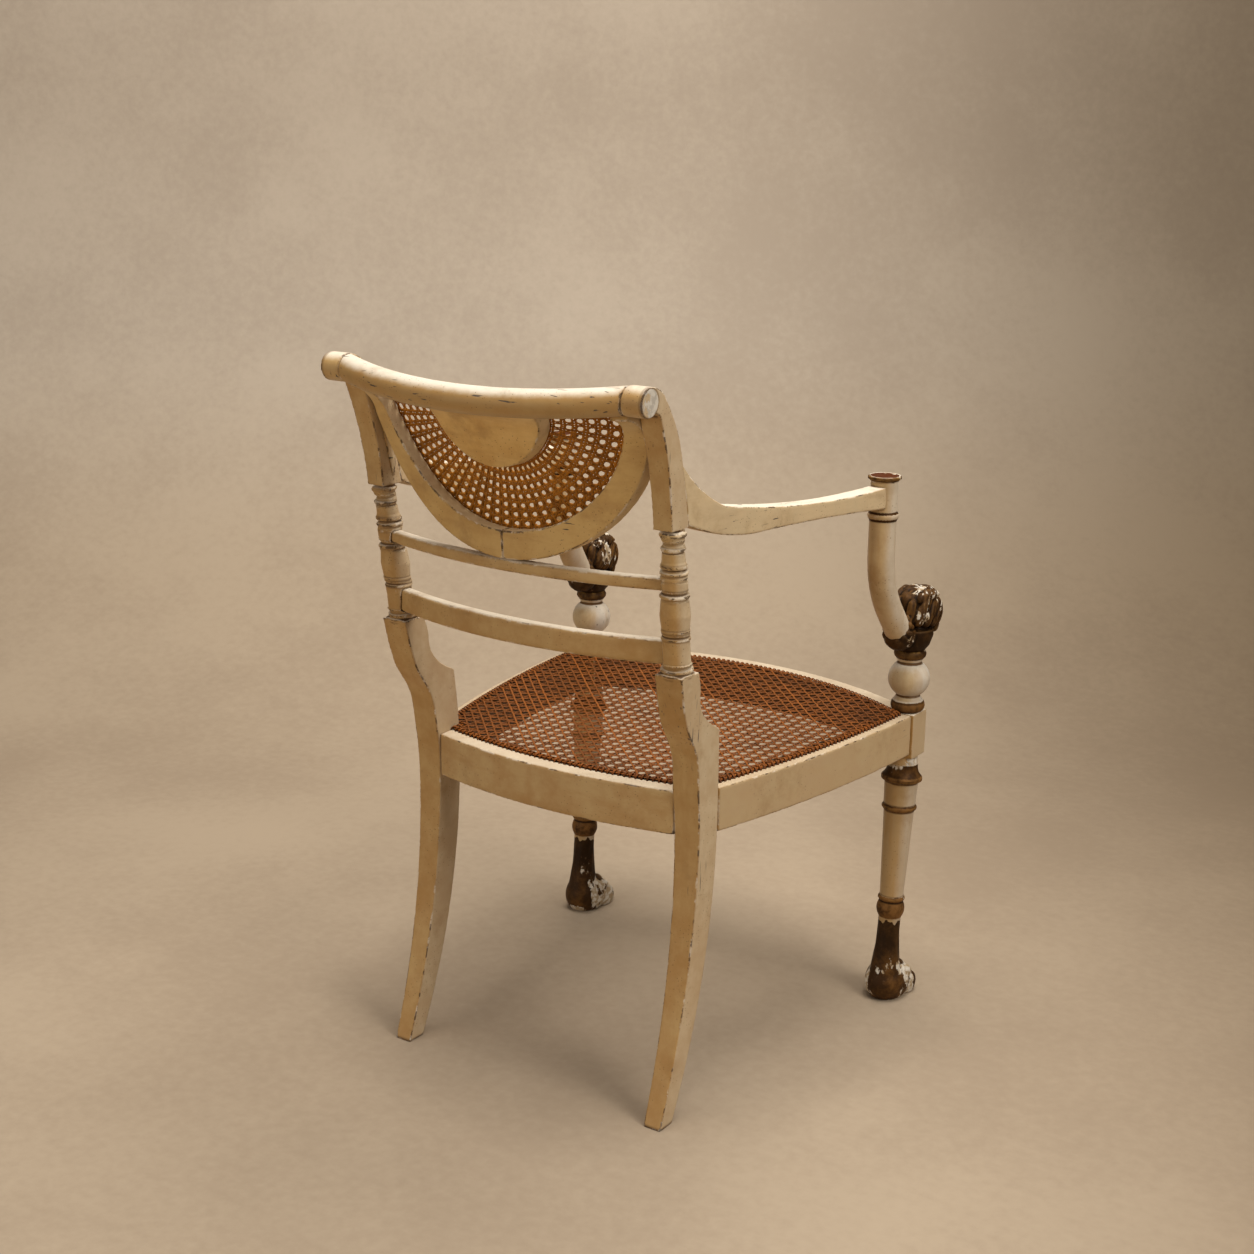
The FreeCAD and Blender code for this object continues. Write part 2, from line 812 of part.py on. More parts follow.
rim_low = upper_rail_middle + size.upper_rail_height / 2
rim_outer_centre = rim_low + size.rim_outer
rim_inner_centre = rim_low + size.rim_width + size.rim_inner
tablet_centre = crest_height - size.tablet_drop
splat_top = crest_height + 2 * size.crest_radius


def rim_outline(name, grow):
    """Front view of the left half of the rim: a quarter ring, trimmed to the inner face of the post."""
    outer = size.rim_outer + grow
    inner = size.rim_inner - grow
    high = splat_top + size.rim_outer
    outline = [
        (0, rim_low - grow, Arc("left", radius=outer)),
        (outer, rim_outer_centre),
        (outer, high),
        (inner, high),
        (inner, rim_inner_centre, Arc("right", radius=inner)),
        (0, rim_low + size.rim_width + grow),
    ]
    ring = padded(name, "XZ_Plane", outline, 4 * (size.roll_back + size.crest_bow), middle=True)
    space = between_posts(name + "_space", rim_low - size.rim_width, high, grow - size.rim_post_gap)
    return shared(name + "_trimmed", ring, space)


def tablet_outline(name, radius):
    """Front view of the tablet: a half disc hanging from the crest."""
    quarter = Arc("left", radius=radius)
    outline = [
        (-radius, splat_top),
        (-radius, tablet_centre, quarter),
        (0, tablet_centre - radius, quarter),
        (radius, tablet_centre),
        (radius, splat_top),
    ]
    return padded(name, "XZ_Plane", outline, 4 * (size.roll_back + size.crest_bow), middle=True)


def splat_dowel(name, fit=0):
    """The dowel across the butt joint at the bottom of the rim, or with a fit its hole."""
    middle = splat_dowel_back
    half = size.splat_dowel_length / 2 + fit
    return peg(name, -half, middle, rim_low + size.rim_width / 2,
               size.splat_dowel_radius + fit, 2 * half, ALONG_X)


splat_dowel_back = (turning_axis(upper_rail_middle)[1] + size.cross_rail_depth / 2 + size.cross_rail_bow
                    - size.splat_thickness / 2 + size.rim_width * 0.08)

# Arm, arm support and lion head are drawn in the upright plane that joins leg and rear post,
# with y = 0 at the leg and the chair's back towards +y, and are then turned into place.
arm_rear = size.seat_depth + turning_top_back
arm_toe_in = size.leg_half_span - size.arm_post_half_span
arm_turn = slope_angle(arm_toe_in, arm_rear)
arm_length = root(arm_toe_in * arm_toe_in + arm_rear * arm_rear)
arm_low = size.seat_height + size.arm_rise
arm_top = arm_low + size.arm_height


def in_arm_plane(item):
    """Turns a piece from the arm's own plane to its place on the left of the chair."""
    return place(item, size.leg_half_span, -size.seat_depth, 0, ABOUT_Z, arm_turn)


def holder(name, item):
    """A holder that turns a piece drawn in the arm's plane into its place in the chair."""
    group = doc.addObject("Part::Compound", name)
    group.Links = [item]
    return in_arm_plane(group)


def arm_plane_y(y):
    """A distance from the back of the seat, measured from the leg along the arm's plane."""
    return (size.seat_depth + y) / cosine(arm_turn)


def post_front(height):
    """The front edge of the post's upper stretch at a height."""
    low_y = turning_top_back - size.upper_depth / 2
    high_y = size.roll_back - size.neck_run
    high_z = roll_height - size.neck_drop
    return low_y + (high_y - low_y) * (height - turning_top) / (high_z - turning_top)


arm_end_low = turning_top + size.arm_end_lift
arm_tip_height = arm_end_low + size.arm_end_height
arm_rear_tenon_height = arm_end_low + size.arm_end_height / 3


def arm_rear_tenon(name, fit=0):
    """Round tenon of the left arm in the rear post, or with a fit its hole."""
    front = arm_plane_y(post_front(arm_rear_tenon_height))
    start = front + size.arm_tenon_length + fit
    length = 2 * size.arm_tenon_length + fit
    bar = peg(name + "_bar", 0, start, arm_rear_tenon_height, size.arm_tenon_radius + fit, length,
              ALONG_MINUS_Y)
    return holder(name, bar)


def arm_front_tenon(name, fit=0):
    """Round tenon of the left arm in the column, or with a fit its hole."""
    start = size.column_behind + size.column_radius + size.arm_tenon_length
    length = 2 * size.arm_tenon_length + size.tenon_length + fit
    bar = peg(name + "_bar", 0, start, arm_low + size.arm_height / 2, size.arm_tenon_radius + fit, length,
              ALONG_MINUS_Y)
    return holder(name, bar)


def arm(post_upper):
    """The left arm: level at the column, swept up the front of the rear post, tenoned at both ends."""
    low_end = arm_plane_y(post_front(arm_end_low))
    tip = arm_plane_y(post_front(arm_tip_height))
    inside = size.upper_depth / 2
    side = [
        (size.column_behind, arm_low, Arc("right", bulge=size.arm_under_rise)),
        (low_end - size.arm_under_run, arm_end_low - size.arm_under_drop,
         Arc("left", bulge=size.arm_under_bulge)),
        (low_end, arm_end_low),
        (low_end + inside, arm_end_low),
        (tip + inside, arm_tip_height),
        (tip, arm_tip_height, Arc("right", bulge=size.arm_sweep_bulge)),
        (tip - size.arm_sweep_run, arm_tip_height - size.arm_sweep_drop,
         Arc("right", bulge=size.arm_top_bulge)),
        (size.column_behind, arm_top),
    ]
    blank = padded("arm_blank", "YZ_Plane", side, size.arm_width, middle=True)
    scribe = peg("arm_scribe", 0, size.column_behind, arm_low - size.arm_height,
                 size.column_radius + size.fit, 3 * size.arm_height)
    fitted = holder("arm_fitted", cut("arm_scribed", blank, [scribe]))
    trimmed = cut("arm_trimmed", fitted, [post_upper])
    return join("arm", [trimmed, arm_rear_tenon("arm_rear_end"), arm_front_tenon("arm_front_end")])


def column_pipe(name, radius, grow):
    """The arm support bent forward at its foot; grow lengthens the foot."""
    turn = size.column_bend_angle
    foot_y = size.column_foot_behind
    foot_z = baluster_top + size.column_foot_lift
    bend = size.column_bend_radius
    straight = (size.column_behind - foot_y - bend * (1 - cosine(turn))) / sine(turn)
    elbow_z = foot_z + straight * cosine(turn)
    bend_z = elbow_z + bend * sine(turn)
    top = arm_top + size.cap_lift
    corners = [
        (size.column_behind, top),
        (size.column_behind, bend_z),
        (size.column_behind - bend + bend * cosine(turn), elbow_z),
        (foot_y - grow * sine(turn), foot_z - grow * cosine(turn)),
    ]
    body = new_body(name)
    spine = sketch_on(body, "YZ_Plane", name + "_spine")
    draw_path(spine, corners, bend)
    section = sketch_on(body, "XY_Plane", name + "_section")
    section.setExpression("AttachmentOffset.Base.z", top.text)
    section.addGeometry(Part.Circle(Vector(0, size.column_behind.value, 0), Vector(0, 0, 1), radius.value))
    section.addConstraint([
        Sketcher.Constraint("DistanceY", -1, 1, 0, 3, size.column_behind.value),
        Sketcher.Constraint("PointOnObject", 0, 3, -2),
        Sketcher.Constraint("Radius", 0, radius.value),
    ])
    section.setExpression("Constraints[0]", size.column_behind.text)
    section.setExpression("Constraints[2]", radius.text)
    doc.recompute()
    pipe = body.newObject("PartDesign::AdditivePipe", name + "_pipe")
    pipe.Profile = section
    pipe.Spine = (spine, ["Edge1", "Edge2", "Edge3"])
    return body


def draw_path(sketch, corners, bend_radius):
    """An open path of two straights joined by one bend between its second and third corner."""
    corners = [(as_size(corner[0]), as_size(corner[1])) for corner in corners]
    points = [Vector(corner[0].value, corner[1].value, 0) for corner in corners]
    edges = [
        Part.LineSegment(points[0], points[1]),
        arc_edge(points[1], points[2], bend_radius.value, "right"),
        Part.LineSegment(points[2], points[3]),
    ]
    ends = [(0, 1), (0, 2), (2, 1), (2, 2)]
    rules = []
    amounts = []
    for end, corner in zip(ends, corners):
        for kind, amount in (("DistanceX", corner[0]), ("DistanceY", corner[1])):
            rules.append(Sketcher.Constraint(kind, -1, 1, *end, amount.value))
            amounts.append(amount)
    rules.append(Sketcher.Constraint("Radius", 1, bend_radius.value))
    amounts.append(bend_radius)
    rules.append(Sketcher.Constraint("Coincident", 0, 2, 1, 2))
    rules.append(Sketcher.Constraint("Coincident", 1, 1, 2, 1))
    sketch.addGeometry(edges)
    sketch.addConstraint(rules)
    for index, amount in enumerate(amounts):
        sketch.setExpression(f"Constraints[{index}]", amount.text)


baluster_top = (size.seat_height + size.baluster_ring_height + size.ball_height
                + 2 * size.baluster_neck_height + size.collar_height)


def arm_column():
    """The left arm support with its turned ring, bored for the arm and the cap."""
    pipe = column_pipe("column_bent", size.column_radius, as_size(0))
    ring_top = arm_low - size.column_ring_drop + size.column_ring_height / 2
    ring = turned("column_ring", ring_top - size.column_ring_height, size.column_radius,
                  [(size.column_ring_height, size.column_radius,
                    size.column_ring_radius - size.column_radius)])
    place(ring, y=size.column_behind)
    whole = holder("column_whole", join("column_ringed", [pipe, ring]))
    return cut("arm_column", whole, [arm_front_tenon("column_arm_hole", size.fit),
                                     cap_tenon("column_cap_hole", size.fit)])


def cap_tenon(name, fit=0):
    """The cap's tenon in the top of the column, or with a fit its hole."""
    top = arm_top + size.cap_lift
    low = top - size.cap_tenon_length - fit
    bar = peg(name + "_bar", 0, size.column_behind, low, size.cap_tenon_radius + fit,
              size.cap_tenon_length + fit + size.cap_edge_height / 2)
    return holder(name, bar)


def arm_cap():
    """The turned button that closes the top of the column."""
    low = arm_top + size.cap_lift
    slope = size.cap_foot_height / 4
    button = turned("cap_button", low, size.cap_foot_radius, [
        (size.cap_foot_height, size.cap_foot_radius),
        (slope, size.cap_radius),
        (size.cap_edge_height, size.cap_radius),
        (size.cap_crown_height, size.cap_crown_radius),
    ])
    place(button, y=size.column_behind)
    return join("arm_cap", [holder("cap_turned", button), cap_tenon("cap_pin")])


def lion_head():
    """Cup, mane, muzzle and ears in one piece, bored for the baluster and the column."""
    cup = turned("head_cup", baluster_top, size.baluster_shoulder_radius, [
        (size.cup_height, size.cup_radius, size.cup_bulge),
    ])
    height = baluster_top + size.head_lift
    front = -(size.head_forward + size.head_half_length)
    mane = egg("head_mane", 0, -size.head_forward, height,
               size.head_half_width, size.head_half_length, size.head_half_height)
    muzzle = egg("head_muzzle", 0, front + size.muzzle_half_length / 3, height - size.muzzle_drop,
                 size.muzzle_half_width, size.muzzle_half_length, size.muzzle_half_height)
    ears = [
        egg(f"head_ear_{side}", side * size.ear_spread, -size.head_forward, height + size.ear_rise,
            size.ear_radius, size.ear_radius, size.ear_radius)
        for side in (1, -1)
    ]
    locks = [
        egg(f"head_lock_{side}_{row}", side * size.lock_spread, (row - 1) * size.lock_radius,
            height - row * size.lock_radius, size.lock_radius, size.lock_radius, size.lock_radius * 1.3)
        for side in (1, -1)
        for row in (0, 1)
    ]
    carved = join("head_carved", [cup, mane, muzzle] + ears + locks)
    bore = column_pipe("head_bore", size.column_radius + size.fit, size.fit)
    pin = peg("head_pin_hole", 0, 0, baluster_top, size.pin_radius + size.fit, size.pin_length * 3 / 4)
    return cut("lion_head", holder("head_placed", carved),
               [holder("head_bore_placed", bore), holder("head_pin_hole_placed", pin)])


def arm_baluster():
    """The turned ball between seat and head, pinned into both."""
    shoulder = size.baluster_shoulder_radius
    neck = size.baluster_neck_radius
    ball = turned("baluster_turned", size.seat_height, shoulder, [
        (size.baluster_ring_height, shoulder, size.baluster_ring_radius - shoulder),
        (size.baluster_neck_height, neck),
        (size.ball_height, neck, size.ball_radius - neck),
        (size.baluster_neck_height, shoulder),
        (size.collar_height, shoulder, size.collar_radius - shoulder),
    ])
    place(ball, size.leg_half_span, -size.seat_depth)
    pin = peg("baluster_pin", size.leg_half_span, -size.seat_depth, size.seat_height - size.pin_length,
              size.pin_radius, baluster_top - size.seat_height + size.pin_length * 5 / 3)
    return join("arm_baluster", [ball, pin])


def front_leg():
    """The left front leg: joint block, turned shaft set back at the floor, and a paw with four toes."""
    block_low = size.seat_height - size.block_height
    block = box("leg_block", block_inner, -size.seat_depth - size.block_depth / 2, block_low,
                size.block_width, size.block_depth, size.block_height)
    neck = size.leg_neck_radius
    ankle = size.ankle_radius
    band_top = size.ankle_ring_rise + size.ankle_ring_height + size.ankle_rim_height
    ring_low = block_low - size.leg_ring_drop - size.leg_ring_height / 2
    ring_top = ring_low + size.leg_ring_height
    collar_top = block_low - size.leg_collar_drop
    collar_low = collar_top - size.leg_collar_rise - size.leg_collar_rim
    barrel = size.leg_barrel_radius
    shaft = turned("leg_shaft", size.ankle_foot_rise - block_low, size.ankle_foot_radius, [
        (size.ankle_ring_rise - size.ankle_foot_rise, ankle, -size.ankle_hollow),
        (size.ankle_ring_height, ankle, size.ankle_ring_radius - ankle),
        (size.ankle_rim_height, size.leg_shaft_radius, size.ankle_rim_radius - ankle),
        (ring_low - band_top, neck),
        (size.leg_ring_height, neck, size.leg_ring_radius - neck),
        (size.leg_collar_rim / 4, size.leg_barrel_low_radius),
        (collar_low - ring_top - size.leg_collar_rim / 2, barrel),
        (size.leg_collar_rim / 4, size.leg_collar_radius),
        (size.leg_collar_rim, size.leg_collar_radius),
        (size.leg_collar_rise, neck, -size.leg_collar_hollow),
        (size.leg_collar_drop, size.leg_top_radius),
        (size.leg_top_radius / 4, size.leg_top_radius),
    ])
    lean(shaft, size.leg_half_span, size.leg_shaft_behind - size.seat_depth, block_low,
         size.leg_toe_in, -size.leg_setback, block_low)
    paw_x = size.leg_half_span - size.leg_toe_in
    paw_y = size.leg_setback + size.leg_shaft_behind - size.seat_depth - size.paw_forward
    paw = egg("paw_pad", paw_x, paw_y, size.paw_height * 0.4,
              size.paw_half_width, size.paw_half_length, size.paw_height * 0.6)
    toe_y = paw_y - size.paw_half_length + size.toe_half_length / 2
    toes = [
        egg(f"paw_toe_{number}", paw_x + step * size.toe_spacing,
            toe_y + (size.toe_step if abs(step) > 1 else as_size(0)), size.toe_height * 0.45,
            size.toe_half_width, size.toe_half_length, size.toe_height * 0.55)
        for number, step in enumerate((-1.5, -0.5, 0.5, 1.5), start=1)
    ]
    below = box("paw_below", block_inner - size.block_width, paw_y - 3 * size.paw_half_length, -size.paw_height,
                3 * size.block_width, 6 * size.paw_half_length, size.paw_height)
    pin = peg("leg_pin_hole", size.leg_half_span, -size.seat_depth,
              size.seat_height - size.pin_length - size.fit, size.pin_radius + size.fit,
              size.pin_length + 2 * size.fit)
    return cut("front_leg", join("leg_whole", [block, shaft, paw] + toes), [
        below,
        pin,
        mortise("leg_side_mortise", SIDE_FRONT_TENON),
        mortise("leg_front_mortise", FRONT_TENON),
    ])


def mirrored_tenon(name, tenon):
    """The left tenon of a rail that crosses the chair, and its mirror on the right."""
    left = seat_tenon(name + "_left", *tenon)
    right = seat_tenon(name + "_right", -tenon[0] - size.tenon_length, tenon[1], True)
    return [left, right]


def rear_seat_rail():
    end = size.post_half_gap
    inner = -size.rear_rail_width
    plan = [
        (-end, inner, Arc("right", bulge=size.rear_rail_bow)),
        (end, inner),
        (end, 0, Arc("left", bulge=size.rear_rail_bow)),
        (-end, 0),
    ]
    rail = padded("rear_rail_blank", "XY_Plane", plan, size.rail_height)
    place(rail, z=rail_bottom)
    return join("rear_rail", [rail] + mirrored_tenon("rear_rail_tenon", REAR_TENON))


def front_seat_rail():
    end = block_inner
    plan = [
        (-end, -front_end, Arc("left", bulge=size.front_rail_bow)),
        (end, -front_end),
        (end, size.front_rail_width - front_end, Arc("right", bulge=size.front_rail_bow)),
        (-end, size.front_rail_width - front_end),
    ]
    rail = padded("front_rail_blank", "XY_Plane", plan, size.rail_height)
    place(rail, z=rail_bottom)
    return join("front_rail", [rail] + mirrored_tenon("front_rail_tenon", FRONT_TENON))


def side_seat_rail():
    """The left side rail, bowed a little outwards, between rear post and front leg."""
    width = size.side_rail_width
    plan = [
        (side_outer_front - width, -block_rear),
        (side_outer_front, -block_rear, Arc("left", bulge=size.side_rail_bow)),
        (side_outer_rear, -size.post_depth),
        (side_outer_rear - width, -size.post_depth, Arc("right", bulge=size.side_rail_bow)),
    ]
    rail = padded("side_rail_blank", "XY_Plane", plan, size.rail_height)
    place(rail, z=rail_bottom)
    return join("side_rail", [
        rail,
        seat_tenon("side_rail_rear_tenon", *SIDE_REAR_TENON),
        seat_tenon("side_rail_front_tenon", *SIDE_FRONT_TENON),
    ])


def wire_through(corners):
    """A closed wire in the XY plane through the corners of an outline."""
    edges = []
    corners = [(as_size(corner[0]), as_size(corner[1]), *corner[2:]) for corner in corners]
    for index, corner in enumerate(corners):
        following = corners[(index + 1) % len(corners)]
        start = Vector(corner[0].value, corner[1].value, 0)
        end = Vector(following[0].value, following[1].value, 0)
        if len(corner) > 2:
            radius = corner[2].radius_between(corner, following).value
            edges.append(arc_edge(start, end, radius, corner[2].turn).toShape())
        else:
            edges.append(Part.makeLine(start, end))
    return Part.Wire(Part.__sortEdges__(edges))


def gap_wire(x, y, gap, sides):
    """One gap of a net: a regular outline of a given width about a point."""
    radius = gap / 2 / math.cos(math.pi / sides)
    points = [
        Vector(x + radius * math.cos((2 * k + 1) * math.pi / sides),
               y - radius * math.sin((2 * k + 1) * math.pi / sides), 0)
        for k in range(sides)
    ]
    return Part.makePolygon(points + points[:1])


def holed_face(outline, border, pitch, gap, sides):
    """A flat face with gaps on a square grid wherever a gap fits inside the outline's border."""
    face = Part.Face(outline)
    inside = face.makeOffset2D(-border)
    box_round = inside.BoundBox
    gaps = []
    columns = int(box_round.XLength / pitch / 2) + 1
    rows = int(box_round.YLength / pitch) + 1
    for row in range(rows + 1):
        y = box_round.YMin + (row + 0.5) * pitch
        for column in range(-columns, columns):
            wire = gap_wire((column + 0.5) * pitch, y, gap, sides)
            corners = [vertex.Point for vertex in wire.Vertexes]
            if all(inside.isInside(corner, 0.01, True) for corner in corners):
                gaps.append(wire)
    return Part.Face([outline] + gaps)


def seat_cane():
    """The cane seat: one thin net that lies on the four rails and is notched round the posts."""
    post_side = size.post_half_gap - size.cane_post_gap
    notch = -(size.post_depth + size.cane_post_gap)
    side_rear = side_outer_rear - size.cane_side_inset
    side_front = side_outer_front - size.cane_side_inset
    side_end = -(size.seat_depth - size.baluster_ring_radius - size.cane_corner_gap)
    front_x = size.leg_half_span - size.baluster_ring_radius - size.cane_corner_gap
    front_y = size.cane_front_inset - front_end
    outline = wire_through([
        (post_side, -size.cane_rear_inset, Arc("left", bulge=size.rear_rail_bow)),
        (-post_side, -size.cane_rear_inset),
        (-post_side, notch),
        (-side_rear, notch, Arc("left", bulge=size.side_rail_bow)),
        (-side_front, side_end),
        (-front_x, front_y, Arc("left", bulge=size.front_rail_bow)),
        (front_x, front_y),
        (side_front, side_end, Arc("left", bulge=size.side_rail_bow)),
        (side_rear, notch),
        (post_side, notch),
    ])
    face = holed_face(outline, size.cane_border.value, size.seat_cane_pitch.value,
                      size.seat_cane_gap.value, 4)
    panel = doc.addObject("Part::Feature", "seat_cane")
    panel.Shape = face.extrude(Vector(0, 0, size.cane_thickness.value))
    place(panel, z=size.seat_height)
    return panel


def sunburst_face(outline, columns, rows):
    """A flat face with gaps in rays from tablet to rim, wider towards the rim."""
    gaps = []
    for column in range(columns):
        angle = math.pi * ((column + 0.5) / columns - 0.5)
        across, down = math.sin(angle), math.cos(angle)
        near = Vector(size.tablet_radius.value * across, tablet_centre.value - size.tablet_radius.value * down, 0)
        far = Vector(size.rim_inner.value * across, rim_inner_centre.value - size.rim_inner.value * down, 0)
        for row in range(rows):
            share = (row + 0.5) / rows
            middle = near + (far - near) * share
            gap = size.back_cane_inner_gap + (size.back_cane_gap - size.back_cane_inner_gap) * share
            if middle.y < crest_height.value - size.crest_radius.value:
                gaps.append(gap_wire(middle.x, middle.y, gap.value, 6))
    return Part.Face([outline] + gaps)


def back_cane(tube):
    """The caned field of the splat: a thin bowed net that lies on the front of rim and tablet."""
    outer = size.rim_inner + size.cane_lap
    inner = size.tablet_radius - size.cane_lap
    outline = wire_through([
        (-outer, splat_top),
        (-outer, rim_inner_centre, Arc("left", radius=outer)),
        (0, rim_inner_centre - outer, Arc("left", radius=outer)),
        (outer, rim_inner_centre),
        (outer, splat_top),
        (inner, splat_top),
        (inner, tablet_centre, Arc("right", radius=inner)),
        (0, tablet_centre - inner, Arc("right", radius=inner)),
        (-inner, tablet_centre),
        (-inner, splat_top),
    ])
    face = sunburst_face(outline, BACK_CANE_RAYS, BACK_CANE_RINGS)
    face.rotate(Vector(), Vector(1, 0, 0), 90)
    depth = size.roll_back.value + 2 * size.crest_bow.value
    net = doc.addObject("Part::Feature", "back_net")
    net.Shape = face.extrude(Vector(0, depth, 0))
    sheet_front = size.splat_thickness + size.cane_rest
    thin = splat_band("back_cane_sheet", as_size(0), sheet_front, sheet_front + size.cane_thickness, as_size(0))
    space = between_posts("back_cane_space", rim_low, splat_top + size.rim_outer, -size.rim_post_gap)
    fitted = shared("back_cane_fitted", shared("back_cane_net", thin, net), space)
    return cut("back_cane", fitted, [tube])


def build():
    """Makes every piece and names it."""
    post, post_upper = rear_post()
    finish_pair(post, "rear_post")

    tube = crest_tube("crest_round", size.crest_radius)
    low = crest_height - 4 * size.crest_radius
    high = roll_height + 4 * size.crest_radius
    trimmed = shared("crest_trimmed", tube, between_posts("crest_ends", low, high))
    housing = splat_band("splat_housing", size.fit, as_size(0), size.splat_thickness, size.fit)
    housed_rim = shared("housed_rim", housing, rim_outline("housed_rim_view", size.fit))
    housed_rim_right = doc.addObject("Part::Mirroring", "housed_rim_right")
    housed_rim_right.Source = housed_rim
    housed_rim_right.Normal = Vector(1, 0, 0)
    housed_tablet = shared("housed_tablet", housing,
                           tablet_outline("housed_tablet_view", size.tablet_radius + size.fit))
    crest_pin = crest_tenon("crest_pin")
    crest_pin_right = doc.addObject("Part::Mirroring", "crest_pin_right")
    crest_pin_right.Source = crest_pin
    crest_pin_right.Normal = Vector(1, 0, 0)
    pinned = join("crest_pinned", [trimmed, crest_pin, crest_pin_right])
    finish(cut("crest", pinned, [housed_rim, housed_rim_right, housed_tablet]), "crest_rail")

    upper_rail = cross_rail("upper_rail", upper_rail_middle, size.upper_rail_height)
    finish(upper_rail, "upper_cross_rail")
    lower_rail = cross_rail("lower_rail", lower_rail_middle, size.lower_rail_height)
    finish(lower_rail, "lower_cross_rail")

    sheet_body = splat_band("splat_sheet", as_size(0), as_size(0), size.splat_thickness, as_size(0))
    half_rim = shared("half_rim", sheet_body, rim_outline("rim_view", as_size(0)))
    finish_pair(cut("rim", half_rim, [splat_dowel("rim_dowel_hole", size.fit)]), "splat_rim")
    finish(splat_dowel("rim_dowel"), "splat_dowel", splat_dowel_back)
    finish(shared("tablet", sheet_body, tablet_outline("tablet_view", size.tablet_radius)), "splat_tablet")
    clear_tube = crest_tube("crest_clearance", size.crest_radius + size.cane_rest)
    finish(back_cane(clear_tube), "back_cane_panel")

    finish(rear_seat_rail(), "seat_rail_rear")
    finish(front_seat_rail(), "seat_rail_front")
    finish_pair(side_seat_rail(), "seat_rail")
    finish(seat_cane(), "seat_cane_panel")

    finish_pair(front_leg(), "front_leg")
    finish_pair(arm_baluster(), "arm_baluster")
    finish_pair(lion_head(), "lion_head")
    finish_pair(arm_column(), "arm_column")
    finish_pair(arm(post_upper), "arm")
    finish_pair(arm_cap(), "arm_cap")
    doc.recompute()


def check_and_write():
    """Stops on any piece that did not build, then writes one file for each."""
    for item in doc.Objects:
        if "Invalid" in item.State or "Error" in item.State:
            raise RuntimeError(f"{item.Label} did not build: {item.State}")
    os.makedirs("parts", exist_ok=True)
    for item in nodes:
        shape = item.Shape
        if shape.isNull() or not shape.isValid() or len(shape.Solids) != 1:
            raise RuntimeError(f"{item.Label} is not one good solid: {len(shape.Solids)} solids")
        shape.exportStep(f"parts/{item.Label}.step")


build()
check_and_write()
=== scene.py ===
import math

import bpy
import numpy as np
from mathutils import Euler, Matrix, Vector


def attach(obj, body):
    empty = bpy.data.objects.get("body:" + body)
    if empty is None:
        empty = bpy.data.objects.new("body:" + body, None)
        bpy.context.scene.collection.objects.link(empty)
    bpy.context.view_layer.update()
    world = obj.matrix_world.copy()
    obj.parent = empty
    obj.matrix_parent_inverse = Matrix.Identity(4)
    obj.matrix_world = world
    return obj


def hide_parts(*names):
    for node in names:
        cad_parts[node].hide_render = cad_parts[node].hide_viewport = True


# The looks of a painted cane armchair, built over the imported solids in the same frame.
# Metres, z = 0 is the floor, the chair faces -Y and +X is the sitter's left.

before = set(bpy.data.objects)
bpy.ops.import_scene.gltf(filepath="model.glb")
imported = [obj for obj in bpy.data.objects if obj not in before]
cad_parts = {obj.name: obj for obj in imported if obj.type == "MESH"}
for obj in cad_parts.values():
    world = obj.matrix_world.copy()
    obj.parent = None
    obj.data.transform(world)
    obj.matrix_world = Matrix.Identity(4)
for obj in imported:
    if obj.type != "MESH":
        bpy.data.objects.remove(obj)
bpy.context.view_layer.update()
rng = np.random.default_rng(7)

MM = 0.001
# The source draws with y = 0 at the back of the seat and then moves the chair by this much.
SHIFT = 165.955

SEAT_TOP = 405.0


# Camera

# Angles, here in degrees; focal length and picture width in pixels; place in the source's millimetres.
AZIMUTH, ELEVATION, TILT = (math.radians(a) for a in (34.262, 15.553, 0.654))
FOCAL_PIXELS, PICTURE_PIXELS = 1954.48, 1254.0
SENSOR = 36.0
CAMERA_PLACE = (-1335.4, 1802.9, 1199.3)


def add_camera():
    forward = Vector((math.sin(AZIMUTH) * math.cos(ELEVATION), -math.cos(AZIMUTH) * math.cos(ELEVATION),
                      -math.sin(ELEVATION)))
    right = forward.cross(Vector((0, 0, 1))).normalized()
    up = right.cross(forward)
    tilted_right = right * math.cos(TILT) + up * math.sin(TILT)
    tilted_up = up * math.cos(TILT) - right * math.sin(TILT)
    camera = bpy.data.cameras.new("camera")
    camera.sensor_width = SENSOR
    camera.lens = SENSOR * FOCAL_PIXELS / PICTURE_PIXELS
    item = new_object("camera", camera)
    turn = Matrix((tilted_right, tilted_up, -forward)).transposed().to_4x4()
    x, y, z = CAMERA_PLACE
    item.matrix_world = Matrix.Translation(Vector((x, y + SHIFT, z)) * MM) @ turn
    bpy.context.scene.camera = item


# Meshes

def new_object(name, data):
    item = bpy.data.objects.new(name, data)
    bpy.context.scene.collection.objects.link(item)
    return item


def points_of(mesh, key="co"):
    """The places of a mesh's points or, where key is normal, the way that they face."""
    values = np.empty(len(mesh.vertices) * 3)
    mesh.vertices.foreach_get(key, values)
    return values.reshape(-1, 3)


def move_points(mesh, co):
    mesh.vertices.foreach_set("co", co.ravel())
    mesh.update()


def shade_smooth(mesh):
    mesh.polygons.foreach_set("use_smooth", [True] * len(mesh.polygons))


# The skin's grid is turned out of line with the chair, so that no arris runs along it in steps.
GRID_TURN = np.array(Euler((0.50, 0.62, 0.41)).to_matrix())


